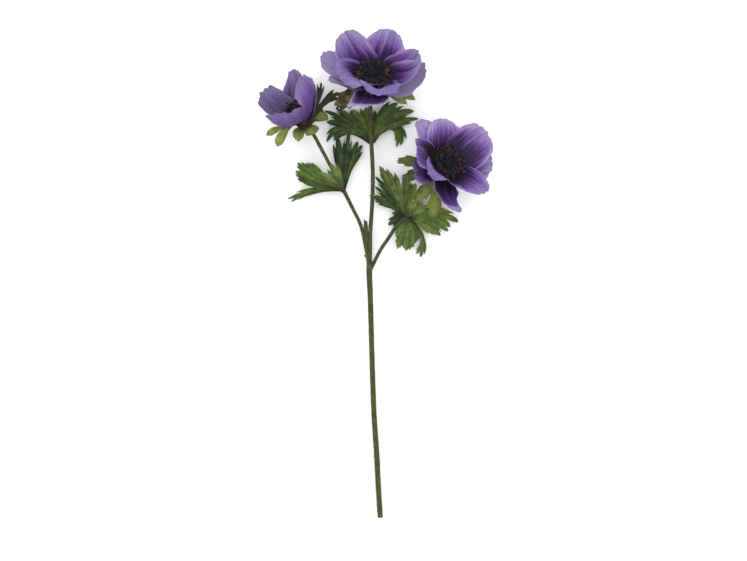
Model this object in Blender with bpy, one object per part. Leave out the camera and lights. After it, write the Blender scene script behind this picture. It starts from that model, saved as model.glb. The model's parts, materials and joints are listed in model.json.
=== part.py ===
"""Anemone spray: one long stem that forks into three, each arm ending in a flower head.

The spray lies flat, stem toward -Y and heads toward +Y, with +Z up. Lengths in the tables are
millimetres and angles are degrees; everything is scaled to metres when the meshes are made.
"""

from math import cos, pi, radians, sin

import bmesh
import bpy
import numpy as np
from mathutils import Vector
from mathutils.geometry import delaunay_2d_cdt

MM = 0.001
GAP = 0.3

# Thickness of the sheets.
PETAL_THICKNESS = 0.45
BRACT_THICKNESS = 0.5
LEAF_THICKNESS = 0.55

# How finely the surfaces are divided.
PETAL_ROWS = 7
PETAL_COLUMNS = 8
BRACT_STEPS = 7
BRACT_SPACING = 4.5
LEAF_SPACING = 6.5
ARC_STEPS = 60
STEM_SIDES = 10
STEM_STEPS = 2
CONE_SIDES = 16
COLLAR_SIDES = 16

# Neck of a head: its radius, how far it goes on below the bracts, the width of the collar of bracts,
# and how far below the neck the last two points of the stem lie.
NECK_RADIUS = 3.6
NECK_TAIL = 1.6
COLLAR_WIDTH = 2.2
STEM_TIP = (8.0, 0.1)

# Bowls that the petals and bracts lie on: radius of the foot, reach of the belly and of the lip,
# ripples round the rim, distance between layers, turn within which two petals overlap, share of a
# blade that its narrow claw takes, and how sharply each blade keeps its own slope.
BOWL_START = NECK_RADIUS + GAP + 0.15
BOWL_BEND = 21.0
BOWL_LIP = 22.0
WAVE_DEPTH = 0.4
WAVE_COUNT = 7
LAYER = 1.05
OVERLAP_SPREAD = 118.0
CLAW_LENGTH = 0.45
FOCUS = {"inner": 5.0, "outer": 5.0, "bract": 22.0}

# Seed cone and the crown of stamens round it: radius of the cone, number of points of the crown,
# height of its seat, how far out the notches end, and its thickness at the root and at the tips.
SEED_CONE_RADIUS = 6.0
STAMEN_COUNT = 22
STAMEN_SEAT = 3.35
CROWN_NOTCH = 0.5
CROWN_ROOT = 0.7
CROWN_TIP = 0.6

# Colour (red, green, blue, alpha) and roughness of each kind of piece.
MATERIALS = {
    "petal": ((0.20, 0.10, 0.42, 1.0), 0.75),
    "seed_cone": ((0.012, 0.011, 0.022, 1.0), 0.7),
    "stamen": ((0.035, 0.03, 0.04, 1.0), 0.7),
    "bract": ((0.30, 0.33, 0.08, 1.0), 0.75),
    "leaf": ((0.10, 0.18, 0.045, 1.0), 0.7),
    "stem": ((0.12, 0.15, 0.06, 1.0), 0.65),
}

# Heads: where the petals spring from, which way the flower looks, the size of its seed cone, and the
# radius and rise of its crown of stamens.
HEADS = {
    "top": dict(centre=(-0.5, 186.0, 37.0), axis=(0.0, 0.67, 0.74), size=1.0, crown=17.0, rise=0.36),
    "right": dict(centre=(66.0, 105.0, 36.0), axis=(0.35, 0.33, 0.87), size=1.0, crown=14.4, rise=0.6),
    "left": dict(centre=(-65.0, 147.0, 30.0), axis=(-0.36, 0.80, 0.48), size=0.85, crown=11.5, rise=2.0),
}

# Petals and bracts sit on bowl-shaped surfaces, one for each whorl, in thin layers that never cross.
# turn: place round the axis; rise: slope of the bowl there at the claw, half way out and at the tip;
# sway: how far the tip leans sideways; drop: how round the tip is; skew: how lopsided it is.
BLADES = {
    "top": {
        "inner": {
            "front": dict(
                turn=-77, rise=(8, 55, -27), length=44.7, width=37.8, sway=-0.4, drop=0.05, skew=0.03,
            ),
            "front_left": dict(
                turn=212, rise=(8, 61, -35), length=41.3, width=52.3, sway=0.8, drop=0.05, skew=0.04,
            ),
            "right": dict(
                turn=-14, rise=(4, 5, 47), length=45.9, width=35.2, sway=5.2, drop=0.32, skew=0.12,
            ),
            "right_back": dict(
                turn=12, rise=(10, 36, 79), length=46.1, width=34.8, sway=-0.1, drop=0.22, skew=-0.07,
            ),
            "back_left": dict(
                turn=136, rise=(9, 33, 67), length=46.1, width=43.2, sway=-0.2, drop=0.14, skew=-0.09,
            ),
            "back_right": dict(
                turn=65, rise=(11, 39, 61), length=44.0, width=43.0, sway=1.1, drop=0.17, skew=0.01,
            ),
        },
        "outer": {
            "outer_left": dict(
                turn=158, rise=(1, 3, 31), length=48.6, width=38.3, sway=-0.5, drop=0.09, skew=-0.08,
            ),
            "outer_left_front": dict(
                turn=190, rise=(7, 24, -21), length=37.3, width=33.7, sway=-0.5, drop=0.42, skew=-0.01,
            ),
            "outer_right": dict(
                turn=-11, rise=(-2, -5, 40), length=45.3, width=54.2, sway=5.2, drop=0.05, skew=0.12,
            ),
            "outer_front": dict(
                turn=-87, rise=(10, 14, 33), length=49.5, width=34.1, sway=-12.5, drop=0.05, skew=-0.12,
            ),
        },
        "bract": {
            "b0": dict(turn=211, rise=(-2, -17, -29), length=38.8, width=17.0, sway=0.3, drop=0.16),
            "b1": dict(turn=228, rise=(-21, -42, -38), length=20.0, width=9.0),
            "b2": dict(
                turn=-34, rise=(-13, -19, -28), length=34.8, width=8.6, sway=1, drop=0.17, skew=0.02,
            ),
            "b3": dict(
                turn=-19, rise=(-12, -9, -32), length=38.5, width=9.0, sway=-0.2, drop=0.14, skew=0.03,
            ),
            "b4": dict(turn=90, rise=(-10, -20, -20), length=22.0, width=10.0),
            "b5": dict(turn=151, rise=(-9, -19, -20), length=24.0, width=10.0),
        },
    },
    "right": {
        "inner": {
            "front": dict(
                turn=-138, rise=(14, 67, -40), length=39.4, width=29.7,
                sway=-1.2, drop=0.12, skew=0.03, claw=0.3,
            ),
            "left": dict(
                turn=184, rise=(10, 55, 62), length=46.0, width=35.7, sway=-0.1, drop=0.05, skew=0.01,
            ),
            "front_right": dict(
                turn=-46, rise=(18, 37, 4), length=43.1, width=32.6, sway=1.8, drop=0.16, skew=0.07, claw=0.3,
            ),
            "back_right": dict(
                turn=40, rise=(9, 16, -8), length=52.1, width=43.2, sway=1.8, drop=0.1, skew=0.01,
            ),
            "back": dict(
                turn=99, rise=(16, 35, 21), length=41.0, width=40.7, sway=0.7, drop=0.12, skew=0.04,
            ),
            "back_left": dict(
                turn=125, rise=(12, 26, -45), length=48.1, width=32.3, sway=2.3, drop=0.25, skew=0.03,
            ),
        },
        "outer": {
            "outer_left": dict(turn=195, rise=(6, 32, 47), length=40.6, width=26.4, sway=6.8, drop=0.05),
            "outer_front": dict(
                turn=-96, rise=(14, -7, 3), length=39.4, width=21.8,
                sway=15.7, drop=0.13, skew=0.12, narrow=0.6,
            ),
            "outer_right": dict(
                turn=14, rise=(1, 5, 11), length=45.2, width=39.8, sway=0.9, drop=0.14, skew=0.01,
            ),
        },
        "bract": {
            "b0": dict(turn=169, rise=(-6, -12, -52), length=40.1, width=11.7, sway=1.3, skew=-0.01),
            "b1": dict(turn=196, rise=(-6, -21, -40), length=36.6, width=10.8, sway=0.5, drop=0.17),
            "b2": dict(
                turn=237, rise=(-11, -39, -32), length=37.5, width=12.2, sway=0.8, drop=0.27, skew=-0.01,
            ),
            "b3": dict(turn=263, rise=(-31, -17, -18), length=44.1, width=15.2, sway=0.9, drop=0.19),
            "b4": dict(turn=20, rise=(-10, -20, -20), length=22.0, width=10.0),
            "b5": dict(turn=100, rise=(-10, -20, -20), length=22.0, width=10.0),
        },
    },
    "left": {
        "inner": {
            "front": dict(
                turn=-102, rise=(23, 46, 63), length=40.8, width=49.1, sway=-5.8, drop=0.17, skew=-0.05,
            ),
            "right": dict(
                turn=-29, rise=(40, 62, 89), length=56.2, width=25.8, sway=-8.4, drop=0.08, skew=-0.06,
            ),
            "left": dict(
                turn=157, rise=(26, 49, 41), length=44.1, width=36.0, sway=-7.5, drop=0.05, skew=-0.06,
            ),
            "back": dict(
                turn=88, rise=(22, 64, 60), length=46.5, width=35.7, sway=-2.1, drop=0.34, skew=-0.08,
            ),
            "right_back": dict(turn=38, rise=(33, 73, 69), length=37.0, width=33.0),
        },
        "outer": {
        },
        "bract": {
            "b0": dict(
                turn=195, rise=(24, 26, -26), length=39.0, width=7.3, sway=1.9, drop=0.21, skew=0.03,
            ),
            "b1": dict(turn=214, rise=(52, -45, -44), length=36.2, width=8.5, drop=0.18, skew=0.05),
            "b2": dict(
                turn=255, rise=(-8, -43, -50), length=18.7, width=8.8, sway=-3.3, drop=0.09, skew=-0.11,
            ),
            "b3": dict(
                turn=294, rise=(-6, -19, -20), length=19.5, width=14.5, sway=0.1, drop=0.16, skew=0.01,
            ),
            "b4": dict(
                turn=29, rise=(-19, -27, -14), length=21.7, width=15.2, sway=2.3, drop=0.17, skew=0.03,
            ),
            "b5": dict(turn=60, rise=(-7, 26, 61), length=48.8, width=4.7, sway=-1, drop=0.06, skew=-0.02),
            "b6": dict(turn=55, rise=(-8, 30, 22), length=44.5, width=4.4, sway=-10.4, drop=0.1),
        },
    },
}
# Usual numbers of a blade; the tables above give only what differs.
USUAL = {
    "petal": dict(claw=0.21, narrow=0.3, sway=0.0, drop=0.3, skew=0.0),
    "bract": dict(claw=0.4, narrow=0.75, sway=0.0, drop=0.15, skew=0.0),
}

# Stems: points of the centre line with the radius there.
MAIN_STEM = (
    (6.3, -219.9, 2.5, 2.45),
    (4.3, -188.4, 3.2, 2.45),
    (3.0, -161.8, 4.0, 2.5),
    (0.7, -127.6, 5.2, 2.45),
    (-0.9, -87.8, 6.6, 2.45),
    (-2.9, -17.8, 8.6, 2.5),
    (-3.9, 7.1, 9.4, 2.75),
    (-3.6, 24.6, 10.0, 2.35),
    (-2.9, 45.6, 10.8, 1.95),
    (-1.1, 73.6, 12.2, 1.9),
    (-0.7, 101.1, 13.6, 1.9),
    (-2.0, 126.7, 15.0, 1.95),
    (-3.2, 140.4, 16.0, 2.1),
    (-2.8, 158.7, 19.5, 1.9),
    (-1.6, 172.0, 25.0, 1.9),
)
LEFT_STEM = (
    (-3.9, 12.3, 9.6, 1.7),
    (-6.6, 27.9, 10.4, 1.7),
    (-11.4, 49.8, 11.6, 1.65),
    (-18.7, 65.4, 12.6, 1.65),
    (-27.9, 83.7, 13.8, 1.85),
    (-33.4, 93.7, 14.6, 1.65),
    (-48.0, 121.2, 17.4, 1.65),
    (-56.2, 135.4, 22.0, 1.6),
)
RIGHT_STEM = (
    (-2.6, 10.5, 9.5, 1.75),
    (6.5, 28.2, 10.2, 1.7),
    (13.5, 38.6, 10.8, 1.7),
    (20.5, 49.1, 11.6, 1.7),
    (29.7, 58.1, 13.0, 1.9),
    (42.0, 72.0, 17.0, 1.65),
    (56.0, 90.0, 23.0, 1.6),
)


# Leaves grow from nodes on the stems, some over the stem and some under it, in thin layers.
# height, slope and sag give the rise and droop of a leaf; heading and fold crease it along its midrib.
# A lobe runs from its start past a bend to its tip, all measured from the node, and has a width.
WHORLS = {
    "top": dict(node=(-2.3, 126.7), height=15.0),
    "left": dict(node=(-27.9, 83.7), height=13.8),
    "right": dict(node=(29.7, 58.1), height=13.0),
}
FRONT = 2.55
LEAF_LAYER = 0.95
LEAVES = {
    "top": {
        "right": dict(
            height=-FRONT, slope=0.15, sag=0.007, fold=0.04, heading=40,
            lobes=(
                ((0.5, 0.5), (12, 29), (39.9, 30.5), 14),
                ((0.5, 0.5), (14, 22), (44.6, 23.5), 11),
                ((6, 8), (18, 22), (37.3, 18.6), 8),
                ((3, 4), (7, 30), (25, 37), 13),
            ),
        ),
        "drooping": dict(
            height=-FRONT - 3 * LEAF_LAYER, slope=-0.05, sag=0.0064, fold=0.05, heading=20,
            lobes=(
                ((0.5, 0.5), (12, 22), (24, 16.5), 5.5),
                ((14, 14.5), (30, 19), (27.6, -1.8), 8.5),
                ((19, 15.5), (28, 14), (23.4, -3.2), 5),
            ),
        ),
        "left": dict(
            height=-FRONT - LEAF_LAYER, slope=0.08, sag=0.0045, fold=-0.1, heading=150,
            lobes=(
                ((-0.5, 0.5), (-16, 20), (-42.7, 31), 9),
                ((-8, 8), (-18, 26), (-33, 33), 5),
                ((-0.5, 0.5), (-22, 20), (-41.7, 19.9), 12),
                ((-8, 6), (-34, 22), (-40.6, 1.4), 8),
                ((-10, 7), (-28, 14), (-34.6, 2.6), 5.5),
            ),
        ),
        "back": dict(
            height=-FRONT - 2 * LEAF_LAYER, slope=-0.02, sag=0.006, fold=0.05, heading=95,
            lobes=(
                ((-0.5, 0.8), (-5, 18), (-19, 31), 13),
                ((0.0, 0.8), (0, 18), (-5, 34), 13),
                ((0.5, 0.8), (7, 18), (13, 32), 13),
            ),
        ),
    },
    "left": {
        "upper": dict(
            height=FRONT, slope=0.15, sag=0.006, fold=0.12, heading=160,
            lobes=(
                ((0.0, 1.0), (-22, 8), (-42.3, 25), 12),
                ((0.0, 1.0), (-24, 5), (-44, 17.8), 13),
                ((-12, 5), (-24, 16), (-34, 24), 9),
            ),
        ),
        "lower": dict(
            height=-FRONT, slope=-0.03, sag=0.0034, fold=0.05, heading=185,
            lobes=(
                ((-0.5, -0.5), (-24, 4), (-52.4, -8.4), 7),
                ((-10, 0.5), (-30, 3), (-49.0, -11), 5),
                ((-0.5, -0.5), (-14, 2), (-28, 3.2), 8),
            ),
        ),
        "middle": dict(
            height=FRONT + LEAF_LAYER, slope=0.35, sag=0.009, fold=0.25, heading=130,
            lobes=(
                ((0.5, -2.0), (-8, 8), (-22, 15), 13),
                ((0.5, -1.0), (-5, 12), (-12, 23), 11),
            ),
        ),
        "back": dict(
            height=-FRONT - LEAF_LAYER, slope=-0.12, sag=0.0006, fold=0.05, heading=80,
            lobes=(
                ((0.2, 0.5), (-3, 24), (-5.2, 50.5), 12),
                ((0.8, 0.5), (2, 30), (5.3, 54), 8),
                ((0.8, 0.5), (6, 28), (13.4, 45.5), 10),
                ((3.0, 10), (8, 28), (17.4, 42), 8),
                ((3.0, 10), (6, 26), (14.6, 35.6), 8),
            ),
        ),
    },
    "right": {
        "fan": dict(
            height=FRONT, slope=0.30, sag=0.005, fold=0.12, heading=115,
            lobes=(
                ((0.0, 0.5), (-12, 24), (-24.2, 47.3), 9),
                ((0.0, 0.5), (-9, 24), (-17.5, 44.5), 8),
                ((0.0, 0.5), (-6, 24), (-10.5, 42), 8),
                ((0.5, 0.5), (0, 22), (0.5, 39.5), 11),
                ((0.5, 0.5), (4, 16), (5.5, 32), 8),
            ),
        ),
        "left": dict(
            height=-FRONT - LEAF_LAYER, slope=0.12, sag=0.005, fold=0.05, heading=135,
            lobes=(
                ((-0.5, 0.5), (-14, 24), (-28.1, 38.2), 6.5),
                ((-0.5, 0.5), (-14, 18), (-28.4, 29.1), 7),
                ((-6, 6.5), (-20, 18), (-33.7, 20.6), 5),
                ((-6, 5.5), (-18, 13), (-28.6, 15.6), 5),
            ),
        ),
        "blade": dict(
            height=FRONT + LEAF_LAYER, slope=0.36, sag=0.002, fold=0.1, heading=65,
            lobes=(
                ((1.0, 0.5), (8, 14), (16.5, 31), 10),
                ((1.0, 0.5), (6, 16), (9.0, 31.5), 9),
                ((1.0, 0.5), (12, 8), (20.4, 10.4), 8),
            ),
        ),
        "right": dict(
            height=-FRONT, slope=0.30, sag=0.008, fold=0.15, heading=-5,
            lobes=(
                ((0.5, -0.5), (26, 10), (48.9, -3.8), 12),
                ((0.5, -0.5), (24, 4), (41.5, -8.2), 11),
                ((0.5, -0.5), (22, 0), (39.8, -12.4), 9),
                ((4, -1.5), (18, -4), (32.1, -16.6), 9),
                ((6, -2), (14, -4), (28.4, -16.2), 8),
                ((6, 0), (20, 8.5), (36, 7.4), 9),
            ),
        ),
        "lower": dict(
            height=FRONT, slope=0.1, sag=0.011, fold=0.1, heading=-90,
            lobes=(
                ((0.5, -0.5), (5, -16), (0.0, -30.6), 13),
                ((0.5, -0.5), (-1, -14), (-8.2, -29.2), 8),
                ((0.5, -0.5), (-2, -10), (-8.4, -18.6), 8),
                ((0.5, -0.5), (8, -12), (8.5, -24), 9),
            ),
        ),
        "tail": dict(
            height=-FRONT - 1.8 * LEAF_LAYER, slope=0.0, sag=0.0055, fold=0.05, heading=-65,
            lobes=(
                ((0.5, -0.5), (14, -8), (17.0, -27), 5.5),
                ((13.0, -12), (19, -24), (13.4, -36.4), 6.5),
                ((14.5, -18), (16, -27), (9.8, -33.6), 5),
            ),
        ),
        "small": dict(
            height=-FRONT - 2.7 * LEAF_LAYER, slope=0.0, sag=0.01, fold=0.05, heading=190,
            lobes=(
                ((-0.5, 0.3), (-7, 4), (-12.6, 4.5), 6),
                ((-0.5, 0.0), (-9, 0), (-15.8, -6.8), 8),
            ),
        ),
    },
}
# Edge of a lobe: share of its length and share of its half width.
LOBE_EDGE = ((0.0, 0.32), (0.35, 0.7), (0.66, 1.0), (0.82, 0.9), (0.79, 0.5), (0.93, 0.36))


def smooth_step(x):
    """Ease from 0 to 1 as x goes from 0 to 1."""
    x = np.clip(x, 0.0, 1.0)
    return x * x * (3.0 - 2.0 * x)


def head_frame(head):
    """Centre, two directions in the plane of the flower and its axis."""
    axis = np.array(head["axis"])
    axis = axis / np.linalg.norm(axis)
    side = np.array([1.0, 0.0, 0.0]) - axis[0] * axis
    side = side / np.linalg.norm(side)
    return np.array(head["centre"]), side, np.cross(axis, side), axis


def bowl(whorl, turns, reach, layer):
    """Distance out and height on a whorl's bowl at each turn (radians) and distance from the neck."""
    places = np.radians(whorl["turns"])
    pull = np.exp(whorl["focus"] * (np.cos(turns[..., None] - places) - 1.0))
    pull = pull / pull.sum(-1, keepdims=True)
    base, middle, tip = np.moveaxis(pull @ whorl["rises"], -1, 0)
    steps = np.linspace(0.0, 1.0, ARC_STEPS + 1)
    travel = reach[..., None] * steps
    slope = base[..., None] + (middle - base)[..., None] * smooth_step(travel / BOWL_BEND)
    slope = slope + (tip - middle)[..., None] * smooth_step((travel - BOWL_BEND) / BOWL_LIP)
    slope = np.radians(slope)
    half = 0.5 * reach / ARC_STEPS
    out = (np.cos(slope[..., 1:]) + np.cos(slope[..., :-1])).sum(-1) * half
    rise = (np.sin(slope[..., 1:]) + np.sin(slope[..., :-1])).sum(-1) * half
    wave = WAVE_DEPTH * smooth_step(reach / 40.0) * np.sin(WAVE_COUNT * turns + 0.12 * reach)
    layer = layer + wave
    lean = slope[..., -1] * smooth_step(reach / 6.0)
    return BOWL_START + out - layer * np.sin(lean), whorl["seat"] + rise + layer * np.cos(lean)


def blade_places(blade, whorl, u, v):
    """Turn and reach on the bowl for places on a blade: u across (-1 to 1), v along (0 to 1)."""
    rounded = 1.0 - blade["drop"] * np.abs(u) ** 2.2 * v**2
    along = v * rounded * (1.0 + blade["skew"] * u * v**2)
    claw = blade["claw"] + (1.0 - blade["claw"]) * smooth_step(v / CLAW_LENGTH)
    narrowing = 1.0 - blade["narrow"] * np.clip((v - 0.55) / 0.45, 0.0, 1.0) ** 2
    sideways = 0.5 * blade["width"] * claw * narrowing * u + blade["sway"] * along**2
    middle = np.full(np.shape(u), radians(blade["turn"]))
    reach = blade["length"] * along
    radius, _ = bowl(whorl, middle, reach, 0.0)
    return middle + sideways / np.maximum(radius, BOWL_START), reach


def bowl_points(whorl, turn, reach, layer, frame):
    """Points of a bowl in space."""
    centre, side, up, axis = frame
    out, rise = bowl(whorl, turn, reach, layer)
    flat = out[..., None] * (np.cos(turn)[..., None] * side + np.sin(turn)[..., None] * up)
    return centre + flat + rise[..., None] * axis


def blade_points(blade, whorl, frame, u, v):
    """Points on a blade."""
    turn, reach = blade_places(blade, whorl, u, v)
    return bowl_points(whorl, turn, reach, blade["layer"], frame)


def blade_grid(blade, whorl, frame, rows, columns):
    """Middle surface of a blade as a grid of points."""
    v, u = np.meshgrid(np.linspace(0.0, 1.0, rows + 1), np.linspace(-1.0, 1.0, columns + 1), indexing="ij")
    return blade_points(blade, whorl, frame, u, v)


def grid_normals(grid):
    """Unit normals on the inner side of a blade grid."""
    down = np.gradient(grid, axis=0)
    across = np.gradient(grid, axis=1)
    normal = np.cross(across, down)
    return normal / np.maximum(np.linalg.norm(normal, axis=-1, keepdims=True), 1e-9)


def layers(blades):
    """Layer of each blade: one under every earlier blade that it overlaps."""
    levels = []
    for place, blade in enumerate(blades):
        level = 0
        for other in range(place):
            apart = abs((blade["turn"] - blades[other]["turn"] + 180.0) % 360.0 - 180.0)
            if apart < OVERLAP_SPREAD:
                level = max(level, levels[other] + 1)
        levels.append(level)
    return levels


def add_object(name, slot, points, faces):
    """Make a mesh object from points in millimetres, with the material of its slot."""
    mesh = bpy.data.meshes.new(name)
    mesh.from_pydata([tuple(MM * float(value) for value in point) for point in points], [], faces)
    body = bmesh.new()
    body.from_mesh(mesh)
    bmesh.ops.recalc_face_normals(body, faces=body.faces)
    body.to_mesh(mesh)
    body.free()
    mesh.materials.append(bpy.data.materials[slot])
    mesh.shade_smooth()
    mesh.set_sharp_from_angle(angle=radians(50.0))
    part = bpy.data.objects.new(name, mesh)
    bpy.context.collection.objects.link(part)
    return part


def make_materials():
    """One material for each kind of piece."""
    for slot, (colour, roughness) in MATERIALS.items():
        material = bpy.data.materials.new(slot)
        material.use_nodes = True
        shader = material.node_tree.nodes["Principled BSDF"]
        shader.inputs["Base Color"].default_value = colour
        shader.inputs["Roughness"].default_value = roughness
        shader.inputs["Metallic"].default_value = 0.0


def sheet_solid(points, normals, faces, rim, thickness):
    """Closed points and faces of a sheet; rim is the loop of its edge, in order."""
    count = len(points)
    top = points + 0.5 * thickness * normals
    bottom = points - 0.5 * thickness * normals
    solid = [tuple(face) for face in faces]
    solid += [tuple(count + corner for corner in reversed(face)) for face in faces]
    for start, end in rim:
        solid.append((end, start, count + start, count + end))
    return np.concatenate([top, bottom]), solid


def grid_solid(grid, thickness):
    """Closed points and faces of a blade grid."""
    rows, columns = grid.shape[0] - 1, grid.shape[1] - 1
    index = np.arange((rows + 1) * (columns + 1)).reshape(rows + 1, columns + 1)
    faces = []
    for row in range(rows):
        for column in range(columns):
            a, b = index[row, column], index[row, column + 1]
            c, d = index[row + 1, column + 1], index[row + 1, column]
            faces.append((int(a), int(b), int(c)))
            faces.append((int(a), int(c), int(d)))
    loop = list(index[0, :-1]) + list(index[:-1, -1]) + list(index[-1, :0:-1]) + list(index[:0:-1, 0])
    rim = [(int(loop[i]), int(loop[(i + 1) % len(loop)])) for i in range(len(loop))]
    return sheet_solid(grid.reshape(-1, 3), grid_normals(grid).reshape(-1, 3), faces, rim, thickness)


def whorl_blades(name, part, start):
    """A whorl's bowl and its blades with their layers under height start."""
    kind = "bract" if part == "bract" else "petal"
    blades = {key: {**USUAL[kind], **blade} for key, blade in BLADES[name][part].items()}
    if not blades:
        return None, {}, start
    whorl = dict(
        turns=np.array([float(blade["turn"]) for blade in blades.values()]),
        rises=np.array([blade["rise"] for blade in blades.values()], float),
        focus=FOCUS[part],
        seat=start,
    )
    levels = layers(list(blades.values())) if kind == "petal" else [0] * len(blades)
    for blade, level in zip(blades.values(), levels):
        blade["layer"] = -LAYER * level
    return whorl, blades, start - LAYER * (max(levels) + 1)


def head_blades(name):
    """Grids of one head's petals, then the bowl and blades of its bracts."""
    frame = head_frame(HEADS[name])
    grids = {}
    start = 0.0
    for part in ("inner", "outer"):
        whorl, blades, start = whorl_blades(name, part, start)
        for key, blade in blades.items():
            grids[key] = blade_grid(blade, whorl, frame, PETAL_ROWS, PETAL_COLUMNS)
    whorl, blades, _ = whorl_blades(name, "bract", start)
    return grids, whorl, blades


def lathe(frame, profile, sides):
    """Closed points and faces of a profile of (radius, height) turned about the head's axis."""
    centre, side, up, axis = frame
    points = []
    rings = []
    for radius, height in profile:
        start = len(points)
        if radius == 0.0:
            points.append(centre + height * axis)
            rings.append([start] * sides)
            continue
        for step in range(sides):
            turn = 2.0 * pi * step / sides
            points.append(centre + radius * (cos(turn) * side + sin(turn) * up) + height * axis)
        rings.append(list(range(start, start + sides)))
    faces = []
    for low, high in zip(rings[:-1], rings[1:]):
        for step in range(sides):
            after = (step + 1) % sides
            corners = [low[step], low[after], high[after], high[step]]
            face = list(dict.fromkeys(corners))
            faces.append(tuple(face))
    return points, faces


def make_seed_cone(name, bottom):
    """Domed seed cone on a neck that carries the petals."""
    size = HEADS[name]["size"]
    dome = SEED_CONE_RADIUS * size
    profile = (
        (0.0, bottom),
        (NECK_RADIUS - 0.6, bottom),
        (NECK_RADIUS, bottom + 0.8),
        (NECK_RADIUS, 1.0),
        (0.92 * dome, 2.2),
        (dome, 3.4),
        (0.97 * dome, 4.8),
        (0.8 * dome, 6.4),
        (0.48 * dome, 7.6),
        (0.0, 8.1),
    )
    points, faces = lathe(head_frame(HEADS[name]), profile, CONE_SIDES)
    add_object(f"{name}_seed_cone", "seed_cone", points, faces)


def make_stamens(name):
    """Crown of stamens round the seed cone, as one toothed ring."""
    head = HEADS[name]
    centre, side, up, axis = head_frame(head)
    root = SEED_CONE_RADIUS * head["size"] + GAP
    points = []
    for step in range(2 * STAMEN_COUNT):
        turn = pi * step / STAMEN_COUNT
        reach = head["crown"] if step % 2 else root + CROWN_NOTCH * (head["crown"] - root)
        lift = STAMEN_SEAT + head["rise"] * (reach - root)
        outward = cos(turn) * side + sin(turn) * up
        for radius, height in (
            (root, STAMEN_SEAT - 0.5 * CROWN_ROOT),
            (root, STAMEN_SEAT + 0.5 * CROWN_ROOT),
            (reach, lift - 0.5 * CROWN_TIP),
            (reach, lift + 0.5 * CROWN_TIP),
        ):
            points.append(centre + radius * outward + height * axis)
    faces = []
    total = 2 * STAMEN_COUNT
    for step in range(total):
        here, after = 4 * step, 4 * ((step + 1) % total)
        for low, high in ((0, 1), (1, 3), (3, 2), (2, 0)):
            faces.append((here + low, after + low, after + high, here + high))
    add_object(f"{name}_stamens", "stamen", points, faces)


def bract_outline(blade, whorl):
    """Outline of a bract in the unrolled bowl: distance from the axis along it, and turn."""
    sides = np.concatenate([np.full(BRACT_STEPS, 1.0), np.full(BRACT_STEPS, -1.0)])
    up = np.linspace(0.0, 1.0, BRACT_STEPS)
    places = np.concatenate([up, up[::-1]])
    turn, reach = blade_places(blade, whorl, sides, places)
    return flat_places(turn, reach)


def flat_places(turn, reach):
    """Flat points for places on a bowl."""
    radius = (BOWL_START + reach)[..., None]
    return radius * np.stack([np.cos(turn), np.sin(turn)], axis=-1)


def make_bracts(name, whorl, blades):
    """Bracts grown together at their feet into a collar under the petals, as one sheet."""
    turn = np.linspace(0.0, 2.0 * pi, COLLAR_SIDES, endpoint=False)
    rings = [flat_places(turn, np.full(COLLAR_SIDES, reach)) for reach in (0.0, COLLAR_WIDTH)]
    outlines = [list(outline) for outline in rings]
    outlines += [list(bract_outline(blade, whorl)) for blade in blades.values()]
    points, faces = triangulate(outlines, BRACT_SPACING)
    hole = 0.97 * BOWL_START
    faces = [face for face in faces if np.linalg.norm(points[list(face)].mean(axis=0)) > hole]
    flat, faces, rim = tidy_flat(points, faces)
    turn = np.arctan2(flat[:, 1], flat[:, 0])
    reach = np.linalg.norm(flat, axis=1) - BOWL_START
    step = 0.05
    frame = head_frame(HEADS[name])
    middle = bowl_points(whorl, turn, reach, 0.0, frame)
    along = bowl_points(whorl, turn, reach + step, 0.0, frame) - middle
    across = bowl_points(whorl, turn + step / BOWL_START, reach, 0.0, frame) - middle
    normals = np.cross(along, across)
    normals = normals / np.linalg.norm(normals, axis=1, keepdims=True)
    points, faces = sheet_solid(middle, normals, faces, rim, BRACT_THICKNESS)
    add_object(f"{name}_bracts", "bract", points, faces)


def curve_points(knots, per_span):
    """Points with radius on a smooth line through the knots."""
    knots = [np.array(knot, float) for knot in knots]
    line = []
    for place in range(len(knots) - 1):
        before = knots[max(place - 1, 0)]
        start, end = knots[place], knots[place + 1]
        after = knots[min(place + 2, len(knots) - 1)]
        for step in range(per_span):
            t = step / per_span
            line.append(
                0.5
                * (
                    2.0 * start
                    + (end - before) * t
                    + (2.0 * before - 5.0 * start + 4.0 * end - after) * t * t
                    + (3.0 * start - before - 3.0 * end + after) * t**3
                )
            )
    line.append(knots[-1])
    return line


def tube(line, sides):
    """Closed points and faces of a round tube along a line of (x, y, z, radius)."""
    points = []
    across = np.array([1.0, 0.0, 0.0])
    for place, knot in enumerate(line):
        ahead = line[min(place + 1, len(line) - 1)][:3] - line[max(place - 1, 0)][:3]
        ahead = ahead / np.linalg.norm(ahead)
        across = across - (across @ ahead) * ahead
        across = across / np.linalg.norm(across)
        over = np.cross(ahead, across)
        for step in range(sides):
            turn = 2.0 * pi * step / sides
            points.append(knot[:3] + knot[3] * (cos(turn) * across + sin(turn) * over))
    faces = [tuple(range(sides))]
    faces.append(tuple(range((len(line) - 1) * sides, len(line) * sides)))
    for place in range(len(line) - 1):
        for step in range(sides):
            after = (step + 1) % sides
            a, b = place * sides + step, place * sides + after
            faces.append((a, b, b + sides, a + sides))
    return points, faces


def stem_end(name, bottom):
    """Last point of a stem, square under the neck of its head."""
    centre, _, _, axis = head_frame(HEADS[name])
    return [centre + (bottom - GAP - back) * axis for back in STEM_TIP]


def stem_line(knots, name, bottom, per_span):
    """Centre line of a stem, ending under its head."""
    radius = knots[-1][3]
    ends = [tuple(point) + (radius,) for point in stem_end(name, bottom)]
    return curve_points(tuple(knots) + tuple(ends), per_span)


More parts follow.
